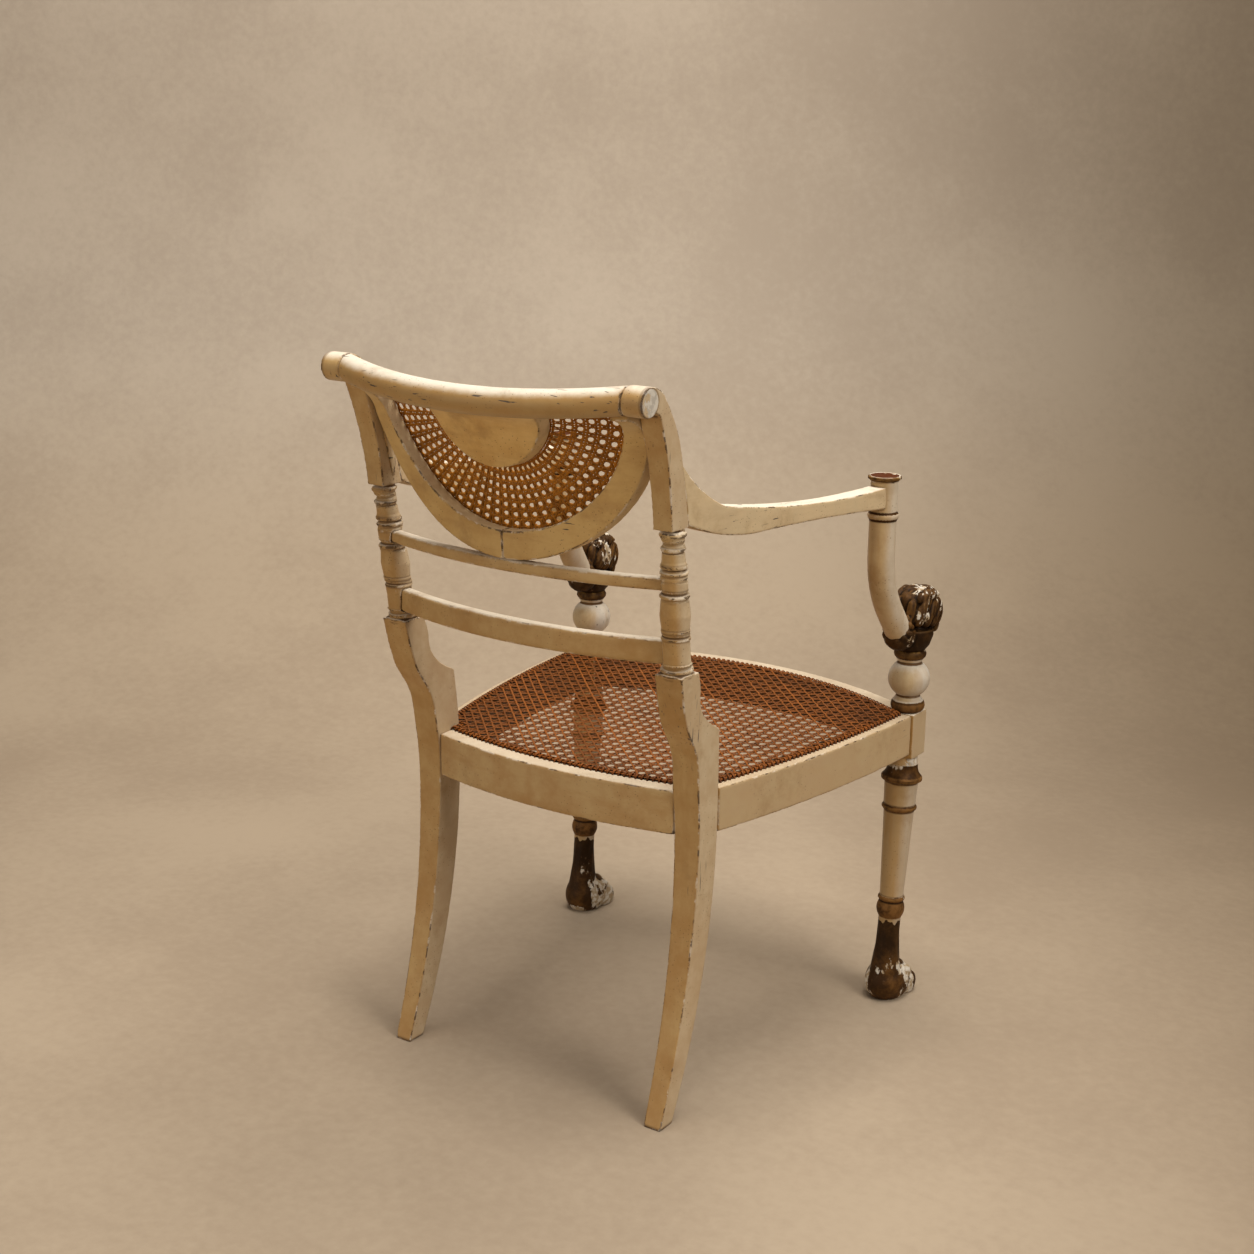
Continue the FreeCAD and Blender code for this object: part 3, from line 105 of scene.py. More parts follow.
def softened(name, node, voxel, rounds, lumps=(), ease=None):
    """A copy of a solid and of lumps of carving as one skin, with edges eased as by many coats of paint.

    ease gives each point, in the source's millimetres, its share of the easing.
    """
    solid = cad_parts[node].data
    verts = [points_of(solid)]
    faces = [list(poly.vertices) for poly in solid.polygons]
    for points, rings in lumps:
        faces += (rings + sum(len(v) for v in verts)).tolist()
        verts.append(points * MM)
    joined = bpy.data.meshes.new(name)
    joined.from_pydata(np.concatenate(verts) @ GRID_TURN.T, [], faces)
    item = new_object(name, joined)
    remesh = item.modifiers.new("skin", "REMESH")
    remesh.mode = "VOXEL"
    remesh.voxel_size = voxel * MM
    graph = bpy.context.evaluated_depsgraph_get()
    mesh = bpy.data.meshes.new_from_object(item.evaluated_get(graph))
    item.modifiers.clear()
    item.data = mesh
    bpy.data.meshes.remove(joined)
    co = points_of(mesh) @ GRID_TURN
    share = np.full(len(co), 0.5)
    if ease is not None:
        share = 0.5 * ease(co / MM - np.array((0.0, SHIFT, 0.0)))
    edges = edges_of(mesh)
    for axis in range(3):
        line = co[:, axis].copy()
        for _ in range(rounds):
            line += share * (spread(edges, line, 1) - line)
        co[:, axis] = line
    shade_smooth(mesh)
    move_points(mesh, co)
    return item


def tube_faces(rings, around):
    """The faces of a skin over rings of points."""
    index = np.arange(around)
    following = (index + 1) % around
    return np.concatenate([np.stack((k * around + index, (k + 1) * around + index, (k + 1) * around + following,
                                     k * around + following), axis=1) for k in range(rings - 1)])


def lump(centre, half, tilt=0.0):
    """A rounded lump of carving: an egg on its centre, tipped forward by tilt degrees."""
    around, along = 20, 12
    angle = np.arange(around) * 2 * math.pi / around
    points = []
    for k in range(along + 1):
        rise = math.pi * k / along
        wide = max(math.sin(rise), 0.02)
        points.append(np.stack((np.cos(angle) * wide, np.sin(angle) * wide,
                                np.full(around, math.cos(rise))), axis=1))
    points = np.concatenate(points) * np.array(half)
    lean = math.radians(tilt)
    y = points[:, 1] * math.cos(lean) - points[:, 2] * math.sin(lean)
    z = points[:, 1] * math.sin(lean) + points[:, 2] * math.cos(lean)
    points = np.stack((points[:, 0], y, z), axis=1) + np.array(centre)
    return points, tube_faces(along + 1, around)


def lock(start, end, bow, thick, thin):
    """A lock of carved hair: a tapered, bowed roll with rounded ends."""
    around, count = 12, 14
    share = np.linspace(0, 1, count)
    start, end, bow = np.array(start, float), np.array(end, float), np.array(bow, float)
    path = start + np.outer(share, end - start) + np.outer(np.sin(math.pi * share), bow)
    run = np.gradient(path, axis=0)
    first = unit(np.cross(run, np.eye(3)[np.argmin(np.abs(end - start))]))
    second = unit(np.cross(run, first))
    ends = np.minimum(1.0, np.sqrt(np.minimum(share, 1 - share) / 0.14 + 0.002))
    wide = (thick + (thin - thick) * share) * ends
    angle = np.arange(around) * 2 * math.pi / around
    ring = np.cos(angle)[None, :, None] * first[:, None] + np.sin(angle)[None, :, None] * second[:, None]
    points = (path[:, None] + wide[:, None, None] * ring).reshape(-1, 3)
    return points, tube_faces(count, around)


def store(item, name, values):
    """Keeps one number per point for the materials to read."""
    layers = item.data.attributes
    layer = layers.get(name) or layers.new(name, "FLOAT", "POINT")
    layer.data.foreach_set("value", np.asarray(values, dtype=np.float32))


def recall(item, name):
    """The numbers that store kept."""
    values = np.empty(len(item.data.vertices), dtype=np.float32)
    item.data.attributes[name].data.foreach_get("value", values)
    return values


def unit(vectors, least=0.0):
    """Vectors at length 1; least keeps those without a length from failing."""
    return vectors / (np.linalg.norm(vectors, axis=1, keepdims=True) + least)


def spread(edges, values, rounds):
    """Averages numbers over neighbouring points."""
    count = np.bincount(edges.ravel(), minlength=len(values)) + 1.0
    for _ in range(rounds):
        total = values.copy()
        total += np.bincount(edges[:, 0], values[edges[:, 1]], minlength=len(values))
        total += np.bincount(edges[:, 1], values[edges[:, 0]], minlength=len(values))
        values = total / count
    return values


def edges_of(mesh):
    pairs = np.empty(len(mesh.edges) * 2, dtype=np.int64)
    mesh.edges.foreach_get("vertices", pairs)
    return pairs.reshape(-1, 2)


# Bends, per millimetre, at which wear and grime begin, and over how much more they grow to the full.
WEAR_FROM, WEAR_OVER = 0.026, 0.035
DIRT_FROM, DIRT_OVER = 0.005, 0.022


def mark_wear(item, voxel):
    """Finds the arrises and the hollows of a skin: where paint wears off and where grime stays."""
    mesh = item.data
    co = points_of(mesh)
    normal = points_of(mesh, "normal")
    edges = edges_of(mesh)
    run = unit(co[edges[:, 1]] - co[edges[:, 0]], 1e-12)
    first = -(normal[edges[:, 0]] * run).sum(1)
    second = (normal[edges[:, 1]] * run).sum(1)
    count = np.bincount(edges.ravel(), minlength=len(co)) + 1e-9
    bend = np.bincount(edges[:, 0], first, minlength=len(co))
    bend += np.bincount(edges[:, 1], second, minlength=len(co))
    bend = spread(edges, bend / count, 2) / voxel
    store(item, "wear", np.clip((bend - WEAR_FROM) / WEAR_OVER, 0, 1))
    wide = spread(edges, bend, 4)
    store(item, "hollow", np.clip((-wide - DIRT_FROM) / DIRT_OVER, 0, 1))


def dress(item, material, node):
    """Gives a piece its material and its place on the chair, and hides the node that it stands for."""
    item.data.materials.clear()
    item.data.materials.append(material)
    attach(item, "root")
    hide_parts(node)


# Materials

class Shader:
    """A short way to write a node material."""

    def __init__(self, name):
        self.material = bpy.data.materials.new(name)
        self.material.use_nodes = True
        self.tree = self.material.node_tree
        self.bsdf = next(n for n in self.tree.nodes if n.type == "BSDF_PRINCIPLED")
        self.place = self.tree.nodes.new("ShaderNodeTexCoord").outputs["Object"]

    def node(self, kind, feeds, **settings):
        """A node with its settings, and with a socket or a constant for each input that feeds names."""
        item = self.tree.nodes.new(kind)
        for key, value in settings.items():
            setattr(item, key, value)
        self.feed(item, feeds)
        return item

    def feed(self, item, feeds):
        for key, value in feeds.items():
            if isinstance(value, bpy.types.NodeSocket):
                self.tree.links.new(value, item.inputs[key])
            else:
                item.inputs[key].default_value = value

    def attribute(self, name):
        return self.node("ShaderNodeAttribute", {}, attribute_name=name).outputs["Fac"]

    def stretched(self, x, y, z):
        return self.node("ShaderNodeMapping", {"Vector": self.place, "Scale": (x, y, z)}).outputs["Vector"]

    def noise(self, scale, detail=3.0, rough=0.55, place=None):
        feeds = {"Vector": place or self.place, "Scale": scale, "Detail": detail, "Roughness": rough}
        return self.node("ShaderNodeTexNoise", feeds).outputs["Fac"]

    def facing(self, axis):
        """How far a face looks along an axis of the chair: 1 along it, 0 across, -1 away."""
        normal = self.node("ShaderNodeNewGeometry", {}).outputs["Normal"]
        return self.node("ShaderNodeSeparateXYZ", {0: normal}).outputs[axis]

    def cells(self, scale, feature="F1"):
        feeds = {"Vector": self.place, "Scale": scale}
        return self.node("ShaderNodeTexVoronoi", feeds, feature=feature).outputs["Distance"]

    def step(self, value, low, high):
        """0 below low, 1 above high, smooth between; where low is the larger, the other way round."""
        first, last = (1.0, 0.0) if low > high else (0.0, 1.0)
        feeds = {"Value": value, "From Min": min(low, high), "From Max": max(low, high), "To Min": first,
                 "To Max": last}
        return self.node("ShaderNodeMapRange", feeds, interpolation_type="SMOOTHSTEP").outputs["Result"]

    def patches(self, low, high, scale, *grain):
        """Noise cut into patches: 0 below low, 1 above high."""
        return self.step(self.noise(scale, *grain), low, high)

    def maths(self, operation, first, second):
        return self.node("ShaderNodeMath", {0: first, 1: second}, operation=operation).outputs[0]

    def times(self, first, second):
        return self.maths("MULTIPLY", first, second)

    def plus(self, first, second):
        return self.maths("ADD", first, second)

    def minus(self, first, second):
        return self.maths("SUBTRACT", first, second)

    def mix(self, share, first, second, blend="MIX"):
        feeds = {"Factor": share}
        for key, colour in (("A", first), ("B", second)):
            feeds[key] = (*colour, 1.0) if isinstance(colour, tuple) else colour
        item = self.node("ShaderNodeMix", feeds, data_type="RGBA", blend_type=blend)
        return next(o for o in item.outputs if o.type == "RGBA")

    def coat(self, colour, over, share, strength):
        """A colour with another laid over it, as far as share times strength."""
        return self.mix(self.times(share, strength), colour, over)

    def tinted(self, share, colour, tint):
        """A colour multiplied by a tint, as far as share says."""
        return self.mix(share, colour, tint, "MULTIPLY")

    def finish(self, colour, rough, height=None, depth=0.0004, shine=0.26):
        feeds = {"Base Color": colour, "Roughness": rough, "Specular IOR Level": shine}
        if height is not None:
            bump = self.node("ShaderNodeBump", {"Strength": 0.6, "Distance": depth, "Height": height})
            feeds["Normal"] = bump.outputs["Normal"]
        self.feed(self.bsdf, feeds)
        return self.material


CREAM = (0.545, 0.405, 0.232)
OCHRE = (0.430, 0.272, 0.122)
RAIL_CREAM = (0.455, 0.318, 0.160)
IVORY = (0.58, 0.475, 0.345)
GREY_CREAM = (0.46, 0.355, 0.240)
SHAFT_CREAM = (0.405, 0.305, 0.195)
# pale tone for bleached paint, painted top and side light, and pale arrises with painted highlight
BLEACH_AND_LIGHT = (0.76, 0.685, 0.57)
GLAZE = (0.265, 0.140, 0.045)
GRIME = (0.105, 0.050, 0.017)
BARE_WOOD = (0.060, 0.030, 0.012)
RAW_WOOD = (0.050, 0.024, 0.009)
GESSO = (0.62, 0.56, 0.47)
UMBER = (0.038, 0.0165, 0.0050)
RUSSET = (0.130, 0.058, 0.0150)
GOLD = (0.30, 0.155, 0.042)
WARM_GILT = (0.20, 0.092, 0.026)
# near black, for soot in the hollows and for painted shade
SOOT_AND_SHADE = (0.010, 0.005, 0.002)
DISC_DARK = (0.042, 0.009, 0.0015)
DISC_RED = (0.105, 0.022, 0.003)
DIRTY_GESSO = (0.36, 0.26, 0.15)
FLAKE_EDGE = (0.10, 0.055, 0.025)
SCRATCH = (0.055, 0.046, 0.040)
REAR_FACE_SHADE = (0.94, 0.79, 0.52)

# Brush marks per metre along x, y and z: the marks run the way that has the fewest.
UPWARD = (60.0, 60.0, 9.0)
ACROSS = (9.0, 60.0, 60.0)
INWARD = (60.0, 9.0, 60.0)


def paint_layers(s, light, body, grain, chips, scratches, bleach_and_top_light, reach):
    """Aged oil paint: patina, brush marks, grime in the hollows, worn arrises and chips, with painted shade on
    faces that look back and painted light on faces that look up and to the sides.
    """
    clouds = s.noise(5.0, 4.0, 0.6)
    mottle = s.noise(38.0, 6.0, 0.68)
    brush = s.noise(1.0, 4.0, 0.65, s.stretched(*grain))
    tone = s.plus(s.times(clouds, 0.60), s.times(mottle, 0.40))
    colour = s.mix(s.step(tone, 0.38, 0.62), body, light)
    colour = s.mix(s.attribute("block"), colour, s.mix(s.step(tone, 0.38, 0.62), OCHRE, RAIL_CREAM))
    colour = s.coat(colour, OCHRE, s.step(brush, 0.44, 0.70), 0.42)
    # painted shade: the faces that look back are tinted darker and more yellow
    rear = s.times(s.step(s.facing("Y"), 0.35, 0.95), 0.9)
    colour = s.tinted(rear, colour, REAR_FACE_SHADE)
    # painted light: the faces that look to the sides are painted paler
    side = s.step(s.maths("ABSOLUTE", s.facing("X"), 0.0), 0.5, 0.95)
    colour = s.coat(colour, BLEACH_AND_LIGHT, side, 0.16)
    # bleaching and painted top light: the faces that look up are painted paler
    up = s.step(s.plus(s.facing("Z"), s.times(mottle, 0.5)), reach, reach + 0.55)
    colour = s.coat(colour, BLEACH_AND_LIGHT, up, bleach_and_top_light)
    colour = s.coat(colour, GLAZE, s.patches(0.50, 0.74, 13.0, 7.0, 0.72), 0.45)
    halo = s.times(s.step(s.attribute("wear"), 0.0, 0.9), s.patches(0.38, 0.62, 21.0, 4.0))
    colour = s.coat(colour, GLAZE, halo, 0.42)
    specks = s.times(s.step(s.cells(240.0), 0.19, 0.08), s.patches(0.48, 0.56, 24.0))
    colour = s.coat(colour, GRIME, specks, 0.75)
    hollow = s.times(s.attribute("hollow"), s.patches(0.10, 0.45, 60.0))
    colour = s.coat(colour, GRIME, hollow, 0.95)
    # rubbed paint and painted highlight: the arrises are painted paler in patches
    pale = s.times(s.attribute("wear"), s.patches(0.50, 0.60, 43.0, 5.0, 0.7))
    colour = s.coat(colour, BLEACH_AND_LIGHT, s.step(pale, 0.2, 0.9), 0.45)
    rub = s.times(s.attribute("wear"), s.patches(0.48, 0.56, 46.0, 7.0, 0.78))
    rub = s.times(rub, s.patches(0.30, 0.46, 8.5, 3.0))
    colour = s.coat(colour, BARE_WOOD, s.step(rub, 0.54, 0.86), 0.80)
    flake = s.plus(s.noise(26.0, 8.0, 0.72), s.times(s.attribute("wear"), 0.10))
    flake = s.plus(flake, s.times(s.attribute("bare"), 0.36))
    bare = s.step(flake, chips, chips + 0.02)
    ground = s.mix(s.attribute("bare"), s.mix(s.patches(0.45, 0.55, 90.0), BARE_WOOD, GESSO), GESSO)
    colour = s.mix(bare, colour, ground)
    line = s.noise(1.0, 2.0, 0.5, s.stretched(*(20.0 if g < 30 else 300.0 for g in grain)))
    dash = s.times(s.step(line, 0.66, 0.70), s.patches(scratches, scratches + 0.06, 9.0, 3.0))
    colour = s.coat(colour, SCRATCH, dash, 0.9)
    colour = s.mix(s.attribute("raw"), colour, s.mix(mottle, RAW_WOOD, GRIME))
    crackle = s.step(s.cells(150.0, "DISTANCE_TO_EDGE"), 0.0, 0.04)
    height = s.plus(s.times(brush, 0.5), s.times(mottle, 0.5))
    height = s.plus(height, s.times(crackle, 0.15))
    height = s.minus(height, s.times(bare, 0.9))
    return colour, s.minus(height, s.times(dash, 0.8))


def gilt_layers(s, loss):
    """Darkened bronze gilding over gesso, with the white ground showing where it has flaked, gold on the arrises
    as rubbed gilding and painted highlight, and darker where the shade mark is.
    """
    tone = s.noise(30.0, 6.0, 0.68)
    colour = s.mix(s.step(tone, 0.42, 0.70), UMBER, RUSSET)
    # rubbed gilding and painted highlight: gold along the arrises, less where the surface is dull
    glint = s.times(s.attribute("wear"), s.patches(0.40, 0.60, 70.0, 4.0, 0.6))
    glint = s.times(glint, s.minus(1.0, s.times(s.attribute("dull"), 0.7)))
    colour = s.coat(colour, GOLD, glint, 0.6)
    colour = s.coat(colour, WARM_GILT, s.attribute("warm"), s.step(tone, 0.36, 0.62))
    colour = s.coat(colour, SOOT_AND_SHADE, s.attribute("hollow"), 0.85)
    colour = s.mix(s.attribute("disc"), colour, s.mix(tone, DISC_DARK, DISC_RED))
    # the shade mark darkens the gilding toward near black: painted shade on the lion's chest under its face
    colour = s.mix(s.attribute("shade"), colour, SOOT_AND_SHADE)
    flake = s.plus(s.noise(1.0, 6.0, 0.62, s.stretched(44.0, 44.0, 26.0)), s.times(s.attribute("bare"), 0.2))
    flake = s.plus(flake, s.times(s.times(s.attribute("wear"), s.attribute("bare")), 0.12))
    bare = s.step(flake, loss, loss + 0.012)
    ground = s.mix(s.patches(0.40, 0.60, 140.0), DIRTY_GESSO, GESSO)
    edge = s.times(s.step(flake, loss - 0.03, loss), 0.6)
    colour = s.mix(bare, s.mix(edge, colour, FLAKE_EDGE), ground)
    return colour, s.minus(s.times(tone, 0.4), s.times(bare, 1.0))


def painted(name, light, body, grain=UPWARD, chips=0.74, scratches=0.60, gilt=None, bleach_and_top_light=0.7, reach=0.70):
    """Painted wood. gilt is how readily the gilded zones have lost their gilding, bleach_and_top_light how pale
    the faces that look up are painted, as bleaching and as painted top light, and reach how far up a face has to
    look for that."""
    s = Shader(name)
    colour, height = paint_layers(s, light, body, grain, chips, scratches, bleach_and_top_light, reach)
    rough = s.plus(s.times(s.patches(0.2, 0.9, 45.0), 0.2), 0.46)
    if gilt is None:
        return s.finish(colour, rough, height)
    dark, dark_height = gilt_layers(s, gilt)
    ragged = s.plus(s.attribute("gilt"), s.times(s.noise(160.0), 0.3))
    zone = s.step(ragged, 0.60, 0.70)
    colour = s.mix(zone, colour, dark)
    height = s.plus(height, s.times(zone, dark_height))
    return s.finish(colour, rough, height, shine=0.08)


def cane(name, light, body, dark):
    """Split cane: lengthwise fibres, a tint for each strand and painted shade where strands lie low in the
    crossings.
    """
    s = Shader(name)
    strand = s.attribute("strand")
    along = s.attribute("along")
    place = {0: s.times(along, 30.0), 1: s.times(strand, 91.0), 2: s.times(s.attribute("across"), 4.0)}
    fibre = s.noise(1.0, 4.0, 0.6, s.node("ShaderNodeCombineXYZ", place).outputs[0])
    colour = s.mix(s.step(fibre, 0.32, 0.68), body, light)
    colour = s.mix(s.step(strand, 0.0, 1.0), colour, s.mix(0.45, colour, dark))
    # painted shade on the strands that lie low in the weave
    colour = s.mix(s.times(s.attribute("strand_shade"), 0.75), colour, dark)
    stain = s.step(s.noise(12.0, 4.0), 0.5, 0.75)
    colour = s.mix(s.times(stain, 0.45), colour, dark)
    return s.finish(colour, s.plus(s.times(fibre, 0.25), 0.38), fibre, 0.0002, 0.16)


# Cane

class Strands:
    """Flat strands collected into one mesh."""

    def __init__(self):
        self.verts = []
        self.faces = []
        self.values = {"strand": [], "along": [], "across": [], "strand_shade": []}
        self.count = 0

    def add(self, points, normals, width, thick, strand_shade):
        """One strand along points: a flat lens section, width across and thick through."""
        number = len(points)
        heading = unit(np.gradient(points, axis=0), 1e-12)
        side = unit(np.cross(heading, normals), 1e-12)
        top = np.cross(side, heading)
        wide = np.broadcast_to(np.asarray(width, dtype=float), (number,))[:, None]
        rise = thick / 2
        ring = ((-0.5, 0.0), (-0.28, rise), (0.28, rise), (0.5, 0.0), (0.0, -rise))
        base = self.count
        sides = len(ring)
        for across, up in ring:
            self.verts.append(points + side * wide * across + top * up)
            self.values["across"].append(np.full(number, across))
        self.values["strand"] += [np.full(number, rng.random())] * sides
        length = np.concatenate(([0.0], np.cumsum(np.linalg.norm(np.diff(points, axis=0), axis=1))))
        self.values["along"] += [length / 10.0] * sides
        self.values["strand_shade"] += [np.asarray(strand_shade)] * sides
        index = np.arange(number - 1)
        for k in range(sides):
            a = base + k * number + index
            b = base + ((k + 1) % sides) * number + index
            self.faces.append(np.stack((a, b, b + 1, a + 1), axis=1))
        self.count += number * sides

    def object(self, name):
        mesh = bpy.data.meshes.new(name)
        mesh.from_pydata(np.concatenate(self.verts) * MM, [], np.concatenate(self.faces).tolist())
        shade_smooth(mesh)
        item = new_object(name, mesh)
        for key, values in self.values.items():
            store(item, key, np.concatenate(values))
        return item


def bulged(start, end, bulge, count):
    """Points on an arc from start to end that stands off to the right of the way by bulge."""
    start, end = np.array(start), np.array(end)
    chord = end - start
    length = np.linalg.norm(chord)
    out = np.array([chord[1], -chord[0]]) / length
    radius = (length ** 2 / 4 + bulge ** 2) / (2 * bulge)
    half = math.asin(length / 2 / radius)
    angle = np.linspace(-half, half, count)
    centre = (start + end) / 2 + out * (bulge - radius)
    way = chord / length
    return centre + radius * (np.sin(angle)[:, None] * way + np.cos(angle)[:, None] * out)


# Corners of the caned field on the seat, from above in the source's millimetres, each with the
# bulge of the side that follows it.
SEAT_CORNERS = [(174.5, -22.5, 22.5), (-174.5, -22.5, 0), (-174.5, -42.6, 0), (-199.6, -42.6, 11.0),
                (-259.5, -414.0, 0), (-229.0, -430.5, 58.0), (229.0, -430.5, 0), (259.5, -414.0, 11.0),
                (199.6, -42.6, 0), (174.5, -42.6, 0)]


def seat_outline():
    """The edge of the caned field."""
    points = []
    for (*start, bulge), (*end, _) in zip(SEAT_CORNERS, SEAT_CORNERS[1:] + SEAT_CORNERS[:1]):
        points.append(bulged(start, end, bulge, 40)[:-1] if bulge else np.array([start]))
    return np.concatenate(points)


def crossings(outline, point, heading):
    """The stretches of an endless line that lie inside a closed outline."""
    point, heading = np.array(point), np.array(heading)
    a = outline - point
    b = np.roll(outline, -1, axis=0) - point
    side = np.array([-heading[1], heading[0]])
    sa, sb = a @ side, b @ side
    hit = (sa > 0) != (sb > 0)
    share = sa[hit] / (sa[hit] - sb[hit])
    where = np.sort((a[hit] + (b[hit] - a[hit]) * share[:, None]) @ heading)
    return [(where[k], where[k + 1]) for k in range(0, len(where) - 1, 2)]


# Spacing of the seat's holes, depth of the rearmost row, a strand's offset in its pair and thickness.
SEAT_PITCH = 15.0
FIRST_ROW = -4.0
PAIR_OFFSET = 1.55
STRAND = 0.8
UP = (0.0, 0.0, 1.0)


def seat_height(x, y):
    """The caned seat sags a little in the middle, where people have sat."""
    sag = np.clip(1 - (x / 235.0) ** 2, 0, 1) * np.clip(1 - ((y + 225.0) / 225.0) ** 2, 0, 1)
    return SEAT_TOP + 1.7 - 4.5 * sag


def seat_cane():
    """Six-way caning: pairs from back to front and from side to side, then both diagonals."""
    strands = Strands()
    outline = seat_outline()
    pitch = SEAT_PITCH
    diagonal = math.sqrt(0.5)
    families = []
    for k in range(-20, 21):
        for pair in (-1, 1):
            families.append(("down", (k * pitch + pair * PAIR_OFFSET, 0.0), (0.0, -1.0), 2.3, pair))
    for k in range(0, 41):
        for pair in (-1, 1):
            families.append(("over", (0.0, FIRST_ROW - k * pitch + pair * PAIR_OFFSET), (1.0, 0.0), 2.3, pair))
    for k in range(-60, 60):
        for kind, rise in (("rising", diagonal), ("falling", -diagonal)):
            families.append((kind, ((k + 0.5) * pitch, FIRST_ROW), (diagonal, rise), 2.6, 1))
    for kind, point, heading, width, pair in families:
        for low, high in crossings(outline, point, heading):
            if high - low < 8:
                continue
            run = np.linspace(low, high, max(int((high - low) / 3.2), 4))
            x = point[0] + heading[0] * run
            y = point[1] + heading[1] * run
            turn_x = 2 * math.pi * x / pitch
            turn_y = 2 * math.pi * (y - FIRST_ROW) / pitch
            if kind == "down":
                lift = -0.30 + 0.25 * np.cos(turn_y) + pair * 0.22 * np.cos(turn_y / 2)
            elif kind == "over":
                lift = 0.15 - 0.25 * np.cos(turn_x) - pair * 0.22 * np.cos(turn_x / 2)
            elif kind == "rising":
                lift = 0.35 + 0.45 * np.cos(turn_x)
            else:
                lift = 0.75 + 0.40 * np.cos(turn_x)
            sway = 0.25 * np.sin(run / 31.0 + point[0] * 1.7 + point[1])
            x = x + heading[1] * sway
            y = y - heading[0] * sway
            z = seat_height(x, y) + lift
            # strands lower in the weave get painted shade
            strands.add(np.stack((x, y + SHIFT, z), axis=1), UP, width, STRAND, np.clip(0.55 - lift, 0, 1))
    seat_binding(strands, outline)
    return strands.object("seat_cane_weave")


def evenly(outline, spacing):
    """Points at about equal steps round a closed outline."""
    loop = np.concatenate((outline, outline[:1]))
    step = np.linalg.norm(np.diff(loop, axis=0), axis=1)
    total = step.sum()
    number = int(round(total / spacing))
    reach = np.concatenate(([0.0], np.cumsum(step)))
    where = np.arange(number) * total / number
    x = np.interp(where, reach, loop[:, 0])
    y = np.interp(where, reach, loop[:, 1])
    return np.stack((x, y), axis=1)


# A loop of the binding: steps inward and along the edge, height over the seat and painted shade where it dips
# low.
LOOP = [(0, 0, -0.2, 1.0), (0.9, 0.4, 2.4, 0.6), (2.6, 0.9, 4.1, 0.1), (4.8, 1.2, 4.5, 0.0), (7.0, 1.0, 3.2, 0.2),
        (9.0, 0.4, 1.2, 0.8)]


def seat_binding(strands, outline):
    """The bound edge: a strand laid round the field, held by a loop at every hole."""
    places = evenly(outline, SEAT_PITCH / 4)
    number = len(places)
    heading = unit(np.roll(places, -1, axis=0) - np.roll(places, 1, axis=0))
    inward = np.stack((-heading[:, 1], heading[:, 0]), axis=1)
    wave = np.where(np.arange(number) % 2 == 0, 0.7, -0.9)
    ring = places + inward * (2.8 + wave)[:, None]
    ring = np.concatenate((ring, ring[:1]))
    lift = np.where(np.arange(number + 1) % 2 == 0, 2.9, 1.9)
    line = np.column_stack((ring[:, 0], ring[:, 1] + SHIFT, SEAT_TOP + lift))
    strands.add(line, UP, 3.4, 1.2, np.zeros(len(line)))
    for k in range(0, number, 2):
        start = places[k] - inward[k] * 1.8
        points = []
        for step, along, rise, _ in LOOP:
            x, y = start + inward[k] * step + heading[k] * along
            points.append((x, y + SHIFT, SEAT_TOP + rise))
        # the loop's low steps get painted shade
        strands.add(np.array(points), UP, 3.3, 1.4, [dip_shade for *_, dip_shade in LOOP])


# Splat surface, repeated from the source so that the woven cane follows the bowed back.
HUB = -412.053
BACK_BOTTOM = (94.947, 667.5)
BACK_BEND = (126.991, 830.948)
BEND_ANGLE = math.radians(25.0)
CREST = (168.591, 868.448)
RIM_CENTRE = 886.0
RIM_INNER = 176.0
TABLET_CENTRE = 862.448
TABLET_RADIUS = 78.0
SPLAT_THICK = 20.0
LOWER_BULGE, UPPER_BULGE = 6.6, 6.2
# The splat's top end from the crest's axis: back and drop of its rear corner, and how the front one differs.
END_BACK, END_DROP = 4.8, 10.6
END_FORWARD, END_RISE = 4.7, 19.4
# The net: rays to a half turn and rings, its depth in the splat, and how far it runs on under the crest.
RAYS, RINGS = 36, 7
NET_FORWARD = 21.3
NET_TOP = CREST[1] + 9.6
NET_HALF = 189.0
PAIR_SHARE = 0.155


def arc_depth(z, low, high, bulge):
    """Depth at a height on an arc between two points of the splat's side view."""
    dy, dz = high[0] - low[0], high[1] - low[1]
    length = np.hypot(dy, dz)
    radius = (length ** 2 / 4 + bulge ** 2) / (2 * bulge)
    middle = ((low[0] + high[0]) / 2, (low[1] + high[1]) / 2)
    reach = radius - bulge
    centre = (middle[0] + reach * dz / length, middle[1] - reach * dy / length)
    return centre[0] - np.sqrt(np.maximum(radius ** 2 - (z - centre[1]) ** 2, 0))


def splat_depth(x, z, forward):
    """y of the splat at a place of its front view, forward of its back face."""
    share = forward / SPLAT_THICK
    low = (BACK_BOTTOM[0] - forward, BACK_BOTTOM[1])
    bend = (BACK_BEND[0] - forward * math.cos(BEND_ANGLE), BACK_BEND[1] + forward * math.sin(BEND_ANGLE))
    top = (CREST[0] - END_BACK - END_FORWARD * share, CREST[1] - END_DROP + END_RISE * share)
    y = np.where(z < bend[1], arc_depth(z, low, bend, LOWER_BULGE), arc_depth(z, bend, top, UPPER_BULGE))
    return HUB + np.sqrt(np.maximum((y - HUB) ** 2 - x ** 2, 0))


